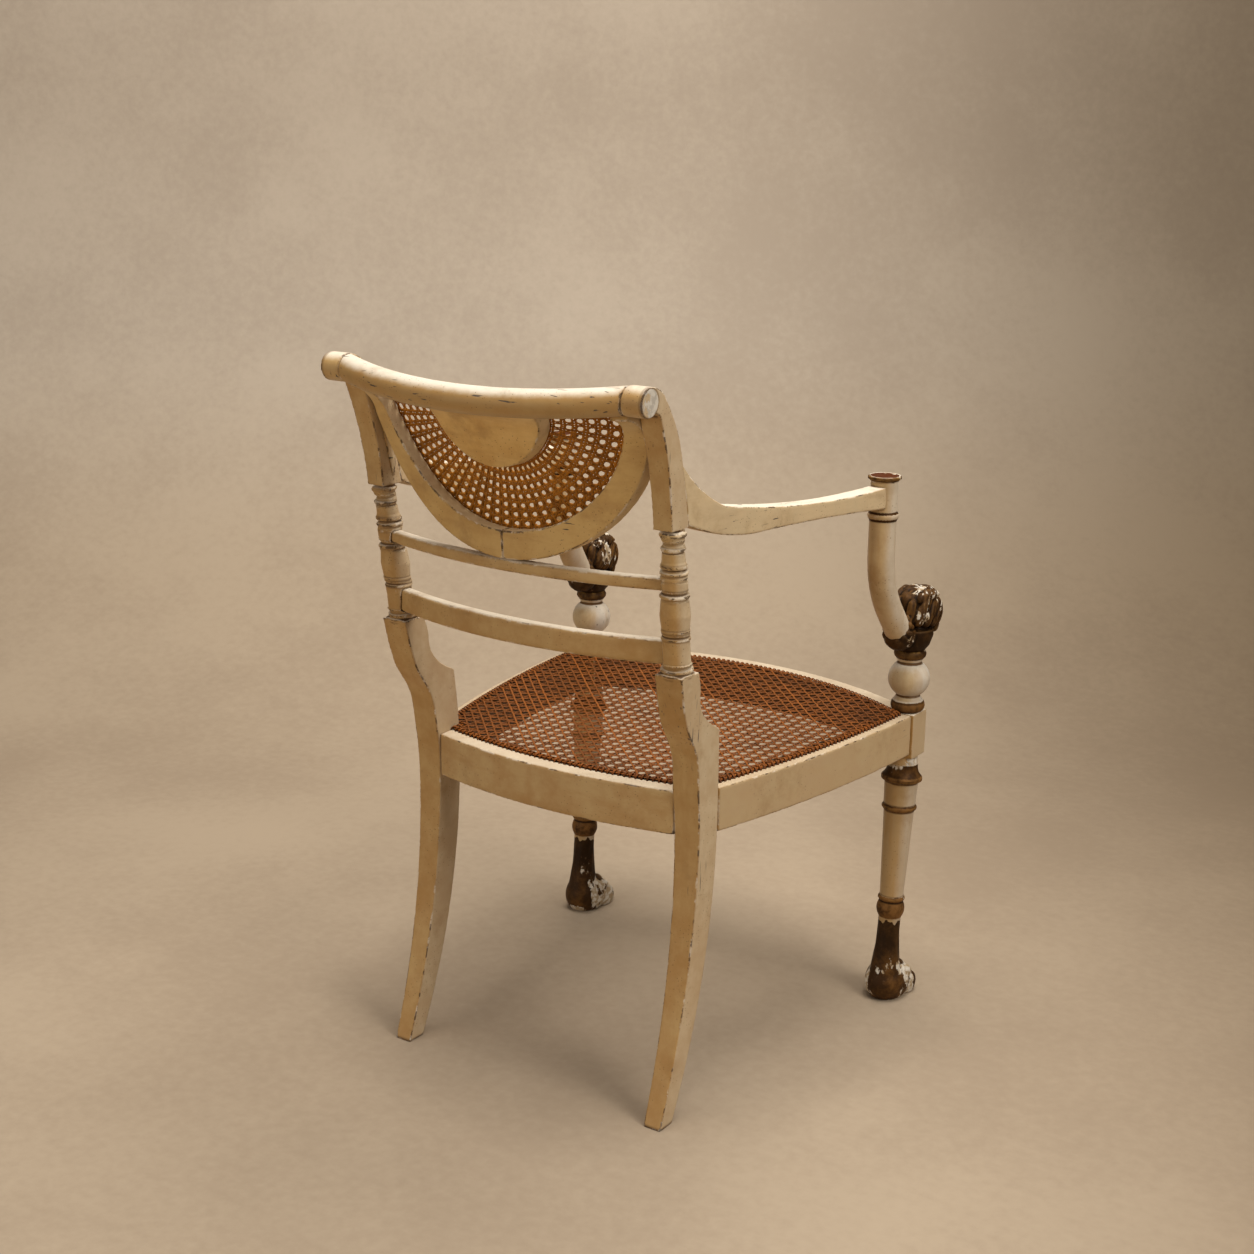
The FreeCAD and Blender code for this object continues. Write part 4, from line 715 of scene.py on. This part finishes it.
def back_cane():
    """A sunburst of cane between tablet and rim: paired rays and rings, and two sets of spirals."""
    strands = Strands()
    turn = math.pi / RAYS
    fine = 7

    def lay(angle, share, width, lift):
        across, down = np.sin(angle), np.cos(angle)
        radius = TABLET_RADIUS + (RIM_INNER - TABLET_RADIUS) * share
        x = radius * across
        z = TABLET_CENTRE + (RIM_CENTRE - TABLET_CENTRE) * share - radius * down
        keep = (z < NET_TOP) & (np.abs(x) < NET_HALF)
        if keep.sum() < 4:
            return
        x, z, forward = x[keep], z[keep], NET_FORWARD + lift[keep]
        y = splat_depth(x, z, forward)
        normal = np.stack((splat_depth(x + 1, z, forward) - splat_depth(x - 1, z, forward),
                           np.full(len(x), -2.0),
                           splat_depth(x, z + 1, forward) - splat_depth(x, z - 1, forward)), axis=1)
        # strands lower in the net get painted shade
        strand_shade = np.clip(0.2 - lift[keep], 0, 1) * 0.7
        strands.add(np.stack((x, y + SHIFT, z), axis=1), unit(normal), width[keep], STRAND, strand_shade)

    run = np.linspace(-0.06, 1.06, RINGS * fine)
    pitch = (TABLET_RADIUS + (RIM_INNER - TABLET_RADIUS) * run) * turn
    wave = 2 * math.pi * run * RINGS
    for column in range(-RAYS // 2 - 3, RAYS // 2 + 4):
        for pair in (-1, 1):
            lift = -0.2 + 0.25 * np.cos(wave) + pair * 0.2 * np.cos(wave / 2)
            lay((column + pair * PAIR_SHARE) * turn * np.ones(len(run)), run, 0.25 * pitch, lift)
    sweep = np.linspace(-math.pi / 2 - 0.24, math.pi / 2 + 0.24, (RAYS + 5) * fine)
    wave = 2 * math.pi * sweep / turn
    for row in range(0, RINGS + 1):
        for pair in (-1, 1):
            share = np.full(len(sweep), (row + pair * PAIR_SHARE) / RINGS)
            lift = 0.1 - 0.25 * np.cos(wave) - pair * 0.2 * np.cos(wave / 2)
            lay(sweep, share, np.full(len(sweep), 3.0), lift)
    for start in range(-RAYS // 2 - RINGS - 3, RAYS // 2 + RINGS + 3):
        for slope in (-1, 1):
            angle = (start + 0.5 + slope * run * RINGS) * turn
            lift = (0.35 if slope > 0 else 0.7) + 0.35 * np.cos(2 * math.pi * angle / turn)
            inside = np.abs(angle) < math.pi / 2 + 0.26
            if inside.sum() > 3:
                lay(angle[inside], run[inside], 0.25 * pitch[inside], lift[inside])
    return strands.object("back_cane_weave")


# Stage

FLOOR_DARK, FLOOR_LIGHT = (0.41, 0.335, 0.260), (0.485, 0.405, 0.318)
FLOOR_TINT = (0.90, 0.845, 0.765)
# painted shade tint for the camera's right side of the floor and backdrop
RIGHT_FALLOFF_SHADE = (0.43, 0.40, 0.35)
BACKDROP = (0.42, 0.335, 0.25, 1.0)
# Place, aim, size, power and colour of each lamp.
LAMPS = {
    "key": ((-3.0, 0.4, 2.6), (0.0, 0.0, 0.45), 1.8, 69.0, (1.0, 0.96, 0.90)),
    "top": ((-0.2, -0.2, 3.4), (0.0, 0.0, 0.4), 2.2, 112.0, (1.0, 0.97, 0.92)),
    "fill": ((2.1, 5.4, 1.2), (0.0, 0.0, 0.6), 4.0, 94.0, (1.0, 0.96, 0.9)),
}


def add_stage():
    """A pale floor that sweeps up into a plain backdrop, with painted shade darkening both towards the camera's
    right.
    """
    near, far, radius = 6.0, -2.2, 1.2
    profile = [(near, 0.0), (far + radius, 0.0)]
    for k in range(1, 17):
        angle = k * math.pi / 32
        profile.append((far + radius - radius * math.sin(angle), radius - radius * math.cos(angle)))
    profile.append((far, 5.0))
    turn = math.radians(34.0)
    verts = []
    for reach, height in profile:
        for side in (-9.0, 9.0):
            # the sweep stands square to the camera
            x = -reach * math.sin(turn) + side * math.cos(turn)
            y = reach * math.cos(turn) + side * math.sin(turn)
            verts.append((x, y, height))
    faces = [(2 * k, 2 * k + 1, 2 * k + 3, 2 * k + 2) for k in range(len(profile) - 1)]
    mesh = bpy.data.meshes.new("floor")
    mesh.from_pydata(verts, [], faces)
    shade_smooth(mesh)
    floor = new_object("floor", mesh)
    s = Shader("floor_plaster")
    cloud = s.noise(1.6, 5.0, 0.6)
    fine = s.noise(60.0, 4.0, 0.6)
    tone = s.plus(s.times(cloud, 0.7), s.times(fine, 0.3))
    colour = s.mix(s.step(tone, 0.35, 0.65), FLOOR_DARK, FLOOR_LIGHT)
    colour = s.tinted(s.step(s.facing("Z"), 0.4, 0.9), colour, FLOOR_TINT)
    # painted shade: the floor and backdrop grow darker towards the camera's right
    right = s.node("ShaderNodeVectorMath", {0: s.place, 1: (-0.826, -0.563, 0.0)}, operation="DOT_PRODUCT")
    colour = s.tinted(s.step(right.outputs["Value"], 0.0, 1.5), colour, RIGHT_FALLOFF_SHADE)
    floor.data.materials.append(s.finish(colour, 0.85))


def add_light():
    """Soft studio light."""
    for name, (place, aim, size, power, colour) in LAMPS.items():
        lamp = bpy.data.lights.new(name, "AREA")
        lamp.shape = "DISK"
        lamp.size = size
        lamp.energy = power
        lamp.color = colour
        item = new_object(name, lamp)
        item.location = place
        item.rotation_euler = (Vector(aim) - Vector(place)).to_track_quat("-Z", "Y").to_euler()
    world = bpy.data.worlds.new("studio")
    bpy.context.scene.world = world
    world.use_nodes = True
    back = next(n for n in world.node_tree.nodes if n.type == "BACKGROUND")
    back.inputs["Color"].default_value = (1.0, 0.95, 0.88, 1.0)
    back.inputs["Strength"].default_value = 0.17
    # the camera sees the backdrop's colour where the sweep ends
    seen = world.node_tree.nodes.new("ShaderNodeBackground")
    seen.inputs["Color"].default_value = BACKDROP
    blend = world.node_tree.nodes.new("ShaderNodeMixShader")
    path = world.node_tree.nodes.new("ShaderNodeLightPath")
    sky = next(n for n in world.node_tree.nodes if n.type == "OUTPUT_WORLD")
    links = world.node_tree.links
    links.new(path.outputs["Is Camera Ray"], blend.inputs[0])
    links.new(back.outputs[0], blend.inputs[1])
    links.new(seen.outputs[0], blend.inputs[2])
    links.new(blend.outputs[0], sky.inputs["Surface"])


# Build

def in_bands(height, bands):
    """1 where a height lies in one of the bands."""
    inside = np.zeros(len(height))
    for low, high in bands:
        inside[(height > low) & (height < high)] = 1.0
    return inside


def smooth_step(value, low, high):
    """0 below low, 1 above high, smooth between."""
    share = np.clip((value - low) / (high - low), 0, 1)
    return share * share * (3 - 2 * share)


def falling(value, low, high):
    """1 below low, 0 above high, smooth between."""
    return smooth_step(-value, -high, -low)


def bell(*values):
    """1 where the values are 0, falling away about there."""
    return np.exp(-sum(v ** 2 for v in values))


def carve(item, depth):
    """Moves the skin of a piece along its normals by a depth in millimetres for each point."""
    mesh = item.data
    move_points(mesh, points_of(mesh) + points_of(mesh, "normal") * depth[:, None] * MM)


def source_points(item):
    """The points of a piece in the source's millimetres."""
    co = points_of(item.data) / MM
    co[:, 1] -= SHIFT
    return co


def wooden_piece(name, node, material, voxel=1.2, rounds=10):
    item = softened(name, node, voxel, rounds)
    mark_wear(item, voxel)
    dress(item, material, node)


def inside_field(co):
    """1 for points that lie under the caned field, seen from above."""
    outline = seat_outline()
    following = np.roll(outline, -1, axis=0)
    crossed = np.zeros(len(co), dtype=int)
    for a, b in zip(outline, following):
        between = (a[1] > co[:, 1]) != (b[1] > co[:, 1])
        reach = a[0] + (co[:, 1] - a[1]) / (b[1] - a[1] + 1e-9) * (b[0] - a[0])
        crossed += between & (co[:, 0] < reach)
    return (crossed % 2).astype(float)


def seat_rail(name, node, material):
    """A seat rail: painted outside, raw stained wood inside and under the cane."""
    voxel = 1.4
    item = softened(name, node, voxel, 10)
    mark_wear(item, voxel)
    store(item, "raw", inside_field(source_points(item)))
    dress(item, material, node)


ARM_TURN = math.atan2(52.0, 502.5)
LEG_PLACE = (256.5, -441.5)


def to_arm_plane(co, sign):
    """Source points as seen from the arm support: out to the side, forward of the leg, up."""
    x = co[:, 0] * sign - LEG_PLACE[0]
    y = co[:, 1] - LEG_PLACE[1]
    side = x * math.cos(ARM_TURN) + y * math.sin(ARM_TURN)
    behind = -x * math.sin(ARM_TURN) + y * math.cos(ARM_TURN)
    return side, -behind, co[:, 2]


def from_arm_plane(points, sign):
    """The way back, for lumps that are set out about the arm support."""
    side, behind = points[:, 0], -points[:, 1]
    x = LEG_PLACE[0] + side * math.cos(ARM_TURN) - behind * math.sin(ARM_TURN)
    y = LEG_PLACE[1] + side * math.sin(ARM_TURN) + behind * math.cos(ARM_TURN)
    return np.stack((x * sign, y + SHIFT, points[:, 2]), axis=1)


# Carving of the lion's head: place and half size, as side, forward and up from the leg's axis.
LION_MIDDLE = [
    ((0, 30, 559), (16, 12, 11)),
    ((0, 45, 544), (5.5, 8, 11)),
    ((0, 45, 527), (12, 11, 10)),
    ((0, 53.5, 534), (6.5, 4.5, 4)),
    ((0, 45, 512.5), (8.5, 8, 6.5)),
    ((0, 35, 515), (11, 12, 10)),
    ((0, -10, 551), (16, 11, 15)),
]
LION_PAIRS = [
    ((5.4, 50, 525.5), (7.2, 7.8, 7)),
    ((13, 33, 535), (9, 11, 14)),
    ((15, 16, 533), (9, 15, 14)),
    ((15, -6, 508), (11, 15, 16)),
    ((18, 23, 562), (5.5, 4.5, 6)),
]
# Brows and the locks of the mane: start, end, bow, and thickness at both ends.
LION_LOCKS = [
    ((2.5, 45, 552), (16, 35, 558), (0, 1.5, 2), 4.4, 3.4),
    ((14, -13, 524), (17, 8, 565), (4, -7, 0), 8.2, 6.0),
    ((17, 0, 522), (20, 24, 556), (4, -5, 3), 8.0, 5.4),
    ((17, 13, 520), (19, 33, 543), (4, -3, 2), 7.2, 4.6),
    ((17, 29, 558), (19, 28, 519), (4, 3, 0), 5.4, 3.6),
    ((12, 36, 529), (13, 32, 507), (2, 3, 0), 5.4, 3.0),
    ((5, -15, 556), (7, 24, 566), (2, 0, 5), 6.4, 5.0),
    ((14, -13, 556), (14, 20, 564), (3, 0, 4), 6.4, 4.6),
    ((7, -15, 522), (11, -15, 562), (2, -6, 0), 7.0, 5.2),
]
# The carved cuff that holds the column's foot: the foot's place and slope, and round it the leaves' distance
# and each leaf's angle and rise.
FOOT = (-21.6, 505.0)
FOOT_SLOPE = 36.0
SLOPE_COS, SLOPE_SIN = math.cos(math.radians(FOOT_SLOPE)), math.sin(math.radians(FOOT_SLOPE))
FOOT_ALONG = np.array((-SLOPE_SIN, SLOPE_COS))
FOOT_FRONT = np.array((SLOPE_COS, SLOPE_SIN))
LEAF_REACH = 16.5
CUFF_LEAVES = [(40, 27.0), (65, 22.0), (95, 18.5), (125, 15.5), (155, 14.0)]


def lion_lumps(sign):
    lumps = [lump(centre, half) for centre, half in LION_MIDDLE]
    for (x, y, z), half in LION_PAIRS:
        for side in (-1, 1):
            lumps.append(lump((x * side, y, z), half))
    for *places, thick, thin in LION_LOCKS:
        for side in (-1, 1):
            lumps.append(lock(*((x * side, y, z) for x, y, z in places), thick, thin))
    cuff = np.array(FOOT) + 10.0 * FOOT_ALONG
    lumps.append(lump((0, *cuff), (21.6, 21.6, 19), FOOT_SLOPE))
    for angle, rise in CUFF_LEAVES:
        turn = math.radians(angle)
        place = np.array(FOOT) + rise * FOOT_ALONG + LEAF_REACH * math.cos(turn) * FOOT_FRONT
        for side in (-1, 1):
            lumps.append(lump((LEAF_REACH * math.sin(turn) * side, *place), (5.8, 5.2, 8.5), FOOT_SLOPE))
    return [(from_arm_plane(points, sign), faces) for points, faces in lumps]


def lion_head(side, sign, material):
    """The carved head: the solid's form with brow, muzzle, locks and a cuff about the column's foot."""
    node = f"lion_head_{side}"
    voxel = 0.95
    item = softened(f"lion_{side}", node, voxel, 6, lion_lumps(sign))
    across, forward, up = to_arm_plane(source_points(item), sign)
    out = np.abs(across)
    mane = falling(forward, 26, 34) * smooth_step(up, 522, 528)
    hair = np.sin(0.95 * forward - 0.45 * up + 0.3 * out + 1.6 * np.sin(0.14 * up + 0.09 * forward))
    leaf = np.sin(0.5 * out + 0.45 * forward + 0.2 * up)
    chest = smooth_step(up, 490, 496) * falling(up, 510, 518)
    line = bell((up - 520.5 + 0.12 * forward) / 1.5) * falling(forward, 18, 26)
    face = (forward > 32).astype(float)
    socket = bell((out - 9.5) / 4.2, (up - 547.5) / 3.4) * face
    ball = bell((out - 9.5) / 2.3, (up - 547.3) / 1.9) * face
    mouth = bell((up - 518.0) / 1.2) * (forward > 40)
    lip = bell(across) * smooth_step(up, 519, 522) * falling(up, 529, 532) * (forward > 47)
    carve(item, 0.4 * hair * mane + 0.3 * leaf * chest - 1.5 * line - 2.6 * socket + 2.6 * ball - 1.6 * mouth
          - 1.0 * lip)
    mark_wear(item, voxel)
    store(item, "gilt", np.ones(len(across)))
    past = np.stack((forward - FOOT[0], up - FOOT[1]), axis=1)
    from_column = np.hypot(across, past @ FOOT_FRONT)
    flaked = (0.30 + 0.10 * smooth_step(forward, 12, 44)) * smooth_step(up, 520, 534)
    store(item, "bare", flaked * smooth_step(from_column, 23, 30))
    store(item, "shade", 0.45 * falling(up, 516, 524) * falling(forward, 28, 34))
    store(item, "dull", np.ones(len(across)))
    dress(item, material, node)


# The front leg leans: its axis at the block and at the floor, as sideways, depth, height.
LEG_TOP = np.array((256.5, -437.5, 344.0))
LEG_FOOT = np.array((253.5, -417.5, 0.0))
PAW = (253.5, -429.0)


def paw_lumps(sign):
    lumps = []
    for step in (-1.5, -0.5, 0.5, 1.5):
        x = PAW[0] + step * 13.2
        back = 5.0 if abs(step) > 1 else 0.0
        lumps.append(lump((x, PAW[1] - 17 + back, 33), (7.4, 15, 9.5), 20))
        lumps.append(lump((x, PAW[1] - 36 + back, 12), (6.6, 9, 10)))
        lumps.append(lump((x, PAW[1] - 43 + back, 6.5), (2.6, 6.5, 3.6), 25))
    lumps.append(lump((PAW[0], PAW[1] + 20, 16), (21, 15, 15)))
    for points, _ in lumps:
        points[:, 2] = np.maximum(points[:, 2], 0.0)
        points[:, 0] *= sign
        points[:, 1] += SHIFT
    return lumps


# Heights along the leg's axis: its gilded bands, the bright part of the collar, the top of the gilded shin
# and the foot of the block.
ANKLE_BAND, SHAFT_RING, COLLAR = (116.2, 146.2), (268.2, 275.8), (308.6, 333.0)
COLLAR_BRIGHT = (308.6, 316.5)
SHIN_TOP = 112.0
BLOCK_FOOT = (343.0, 345.0)


def front_leg(side, sign, material):
    """Leg with a carved paw; gilding on paw, ankle band, ring and collar."""
    node = f"front_leg_{side}"
    voxel = 1.05
    item = softened(f"leg_{side}", node, voxel, 4, paw_lumps(sign))
    co = source_points(item)
    co[:, 0] *= sign
    axis = (LEG_FOOT - LEG_TOP) / np.linalg.norm(LEG_FOOT - LEG_TOP)
    height = LEG_TOP[2] - (co - LEG_TOP) @ axis
    on_axis = LEG_TOP + np.outer((co - LEG_TOP) @ axis, axis)
    front = (on_axis - co)[:, 1]
    turn = np.arctan2(co[:, 0] - on_axis[:, 0], co[:, 1] - on_axis[:, 1])
    fur = smooth_step(height, 48, 62) * falling(height, 96, 112)
    carve(item, 0.25 * fur * np.sin(9 * turn + 0.12 * height))
    mark_wear(item, voxel)
    edge = SHIN_TOP - 1 + 2.5 * np.sin(5 * turn) + 1.5 * np.sin(11 * turn)
    gilt = in_bands(height, (ANKLE_BAND, SHAFT_RING, COLLAR))
    store(item, "gilt", np.maximum(gilt, (height < edge).astype(float)))
    shin = (height < SHIN_TOP).astype(float)
    store(item, "dull", shin)
    paw = (0.35 + 0.6 * smooth_step(front, -20, 8)) * falling(height, 44, 62)
    paw = np.maximum(paw, 0.65 * falling(height, 6, 16))
    flaked = (0.12 + 0.5 * smooth_step(front, 4, 12)) * shin
    neck = 0.6 * smooth_step(height, 322, 332) * falling(height, 342, 346)
    store(item, "bare", np.maximum(np.maximum(paw, flaked), neck))
    block = smooth_step(height, *BLOCK_FOOT)
    store(item, "block", block)
    store(item, "shade", 0.5 * smooth_step(height, 48, 66) * (height < SHIN_TOP + 1))
    store(item, "wear", recall(item, "wear") * (1 - 0.6 * block))
    store(item, "warm", in_bands(height, (ANKLE_BAND, SHAFT_RING, COLLAR_BRIGHT)))
    dress(item, material, node)


# Gilded heights of the pieces under the arm, and the brighter ring.
BALUSTER_GILT = ((404, 419.5), (477.5, 500))
BALUSTER_RING = (408.0, 417.0)
COLUMN_GILT = ((674.5, 678.0), (683.8, 686.5))


def turned_piece(name, node, material, voxel, bands):
    """A turned piece whose gilding lies in bands of height."""
    item = softened(name, node, voxel, 3)
    mark_wear(item, voxel)
    height = source_points(item)[:, 2]
    store(item, "gilt", in_bands(height, bands))
    store(item, "warm", 0.7 * in_bands(height, (BALUSTER_RING,)))
    dress(item, material, node)


# The cap's axis behind the leg's, the radius of its disc, and its top.
CAP_BEHIND = 81.0
DISC_EDGE = 17.4
CAP_TOP = 730.5


def arm_cap(side, sign, material):
    """The button on the column: a russet disc in a pale rim over a dark edge."""
    node = f"arm_cap_{side}"
    voxel = 0.6
    item = softened(f"cap_{side}", node, voxel, 2)
    across, forward, up = to_arm_plane(source_points(item), sign)
    reach = np.hypot(across, forward + CAP_BEHIND)
    carve(item, -0.7 * falling(reach, DISC_EDGE, 18.4) * (up > CAP_TOP))
    mark_wear(item, voxel)
    store(item, "disc", falling(reach, DISC_EDGE, 18.2) * (up > CAP_TOP - 1))
    rim = (reach > 18.0) & (reach < 19.6) & (up > CAP_TOP - 0.2)
    store(item, "gilt", 1.0 - rim)
    dress(item, material, node)


# The post's rolled top: its axis as depth and height, and the dark ring and white disc on its end.
ROLL = (131.5, 880.5)
ROLL_RING, ROLL_DISC = 15.8, (14.5, 15.5)

# The post's turned stretch: its axis at foot and top, and its radius at heights above the foot.
TURNING_FOOT = (200.9, 37.0, 562.0)
TURNING_TOP = (207.6, 61.0, 733.0)
TURNED_FORM = [(1.5, 16.6), (15, 16.6), (30, 16.0), (42, 16.3), (56, 16.6), (71, 17.8), (88, 16.5),
               (101, 15.6), (118, 15.5), (130, 15.2), (134, 13.6), (140, 13.2), (152, 13.1), (158, 13.3),
               (161, 14.2), (163, 15.4), (168, 15.6)]
# Rings on it: height, half width and how far each stands out.
TURNED_RINGS = [(7.8, 5.6, 2.9), (43.7, 2.2, 0.7), (48.1, 2.2, 0.9), (52.2, 2.0, 0.7), (93.9, 2.8, 1.2),
                (98.8, 2.1, 0.8), (121.6, 2.8, 1.1), (128.0, 2.4, 0.8), (147.9, 2.6, 1.5)]
# How far the shoulder's front and rear faces stand back of the solid's at heights.
SHOULDER_FRONT = [(482.5, 0.0), (488, 5.0), (496.5, 10.5), (507, 12.8), (517, 12.0), (526, 8.5), (538, 2.2),
                  (546, 0.0), (562, 0.0)]
SHOULDER_REAR = [(412, 0.0), (438, -3.4), (455, -4.6), (470, -2.4), (484, 2.2), (498, 4.6), (514, 3.6),
                 (529, 2.4), (545, 0.8), (556, 0.0)]
# The solid's front and rear faces there.
POST_FRONT = [(410, -38.0), (450, -35.2), (480, -33.1), (495, -22.5), (511, -11.2), (526, 0.0), (538, 9.0),
              (549, 14.5), (562, 18.5)]
POST_REAR = [(410, 1.0), (450, 8.0), (480, 17.0), (511, 31.0), (540, 46.0), (562, 55.5)]


def post_ease(co):
    """The turned stretch of the post keeps its crisp rings."""
    turned = smooth_step(co[:, 2], 556, 564) * falling(co[:, 2], 730, 738)
    return 1.0 - 0.85 * turned


def solid_radius(reach, height):
    """The solid's radius at each point's height: near the widest in its bin of heights."""
    bins = np.clip((height / 1.5).astype(int), 0, int(170.0 / 1.5))
    result = np.zeros(bins.max() + 1)
    for k in np.unique(bins):
        result[k] = np.percentile(reach[bins == k], 92)
    return result[bins]


def turn_rings(co):
    """Brings the turned stretch to its full form, with its groups of thin rings."""
    height = co[:, 2] - TURNING_FOOT[2]
    share = height / (TURNING_TOP[2] - TURNING_FOOT[2])
    axis = np.array(TURNING_FOOT[:2]) + np.outer(share, np.subtract(TURNING_TOP[:2], TURNING_FOOT[:2]))
    zone = (height > 0.5) & (height < 168.5)
    out = (co[:, :2] - axis)[zone]
    high = height[zone]
    reach = np.hypot(out[:, 0], out[:, 1])
    form = np.interp(high, *zip(*TURNED_FORM))
    for middle, half, stand in TURNED_RINGS:
        near = np.clip(1 - ((high - middle) / half) ** 2, 0, 1)
        form = form + stand * np.sqrt(near) - 0.25 * bell((np.abs(high - middle) - half - 0.5) / 0.7)
    fade = smooth_step(high, 0.5, 2.5) * falling(high, 166.5, 168.5)
    ratio = 1 + (form / np.maximum(solid_radius(reach, high), 5.0) - 1) * fade
    co[zone, :2] = axis[zone] + out * ratio[:, None]


def eased_curve(place, table, width):
    """A value read from a table of places, with the corners of its graph rounded."""
    steps = np.linspace(-width, width, 9)
    share = np.cos(steps / width * math.pi / 2) ** 2
    return sum(w * np.interp(place + d, *zip(*table)) for d, w in zip(steps, share / share.sum()))


def scoop_shoulder(co):
    """Scoops the shoulder's front deeper and bends its rear face, as the photograph has them."""
    zone = (co[:, 2] > 410) & (co[:, 2] < 562)
    y, z = co[zone, 1], co[zone, 2]
    front = np.interp(z, *zip(*POST_FRONT))
    rear = np.interp(z, *zip(*POST_REAR))
    share = np.clip((y - front) / np.maximum(rear - front, 1.0), 0, 1)
    co[zone, 1] += (1 - share) * eased_curve(z, SHOULDER_FRONT, 3.0) + share * eased_curve(z, SHOULDER_REAR, 16.0)


def rear_post(side, sign, material):
    """The rear post; the end grain of its roll has lost most of its paint."""
    node = f"rear_post_{side}"
    voxel = 1.0
    item = softened(f"post_{side}", node, voxel, 10, ease=post_ease)
    co = source_points(item)
    co[:, 0] *= sign
    turn_rings(co)
    scoop_shoulder(co)
    move_points(item.data, (co * np.array((sign, 1.0, 1.0)) + np.array((0.0, SHIFT, 0.0))) * MM)
    mark_wear(item, voxel)
    height = co[:, 2] - TURNING_FOOT[2]
    groove = sum(bell((np.abs(height - middle) - half - 0.3) / 0.8) for middle, half, _ in TURNED_RINGS[1:])
    turned = smooth_step(height, 2.5, 4.5) * falling(height, 166, 168)
    hollow = recall(item, "hollow") * (1 - 0.6 * turned) + 0.55 * np.clip(groove, 0, 1) * turned
    from_roll = np.hypot(co[:, 1] - ROLL[0], co[:, 2] - ROLL[1])
    outer = smooth_step(co[:, 0], 217.5, 219.5)
    hollow = np.maximum(hollow, 0.8 * outer * bell((from_roll - ROLL_RING) / 0.9))
    hollow = np.maximum(hollow, 0.8 * falling(co[:, 2], 1.5, 5))
    store(item, "hollow", np.clip(hollow, 0, 1))
    end = 0.72 * outer * falling(from_roll, *ROLL_DISC)
    store(item, "bare", np.maximum(end, 0.25 * falling(co[:, 2], 4, 22)))
    dress(item, material, node)


def build():
    # The cream paint has copies in lighter and darker tones as painted light and shade: the splat and tablet are
    # lighter, for faces that lean back from the lamps, the side rails darker, and the front and rear rails bluer
    # to offset the painted shade on faces that look back.
    upright = painted("cream_paint_upright", CREAM, OCHRE)
    level = painted("cream_paint_level", CREAM, OCHRE, ACROSS)
    rail = painted("cream_paint_rail", (0.455, 0.306, 0.132), (0.43, 0.262, 0.102), INWARD, bleach_and_top_light=0.35)
    cross = painted("cream_paint_cross_rail", (0.55, 0.43, 0.275), (0.44, 0.29, 0.150), ACROSS, bleach_and_top_light=0.35)
    splat = painted("cream_paint_splat", (0.62, 0.46, 0.240), (0.50, 0.33, 0.140), ACROSS, bleach_and_top_light=0.1)
    plate = painted("cream_paint_tablet", (0.74, 0.55, 0.278), (0.60, 0.396, 0.163), ACROSS, bleach_and_top_light=0.1)
    arm = painted("cream_paint_arm", (0.60, 0.425, 0.215), (0.53, 0.385, 0.200), INWARD, 0.72, 0.52, bleach_and_top_light=0.85)
    crest = painted("cream_paint_crest", RAIL_CREAM, OCHRE, ACROSS, 0.70, 0.42, bleach_and_top_light=0.85, reach=0.60)
    pale = painted("pale_paint", IVORY, GREY_CREAM, gilt=0.66)
    ball = painted("pale_paint_ball", (0.60, 0.53, 0.44), (0.46, 0.385, 0.30), gilt=0.66)
    leg = painted("pale_paint_leg", GREY_CREAM, SHAFT_CREAM, gilt=0.66)
    gilt = painted("worn_gilding", IVORY, GREY_CREAM, gilt=0.63)
    for side, sign in (("left", 1), ("right", -1)):
        rear_post(side, sign, upright)
        wooden_piece(f"rim_{side}", f"splat_rim_{side}", splat)
        seat_rail(f"side_rail_{side}", f"seat_rail_{side}", rail)
        wooden_piece(f"arm_rest_{side}", f"arm_{side}", arm)
        front_leg(side, sign, leg)
        turned_piece(f"baluster_{side}", f"arm_baluster_{side}", ball, 0.9, BALUSTER_GILT)
        turned_piece(f"column_{side}", f"arm_column_{side}", pale, 1.0, COLUMN_GILT)
        lion_head(side, sign, gilt)
        arm_cap(side, sign, gilt)
    wooden_piece("crest", "crest_rail", crest)
    wooden_piece("tablet", "splat_tablet", plate)
    for part in ("upper", "lower"):
        wooden_piece(f"cross_rail_{part}", f"{part}_cross_rail", level, 1.1, 8)
    for part in ("rear", "front"):
        seat_rail(f"rail_{part}", f"seat_rail_{part}", cross)
    wooden_piece("dowel", "splat_dowel", level, 0.8, 1)
    seat = cane("seat_cane_strands", (0.35, 0.112, 0.018), (0.195, 0.050, 0.006), (0.034, 0.009, 0.0015))
    dress(seat_cane(), seat, "seat_cane_panel")
    back = cane("back_cane_strands", (0.60, 0.235, 0.022), (0.40, 0.140, 0.011), (0.13, 0.040, 0.004))
    dress(back_cane(), back, "back_cane_panel")


add_camera()
add_stage()
add_light()
build()

bpy.context.scene.view_settings.view_transform = "Standard"
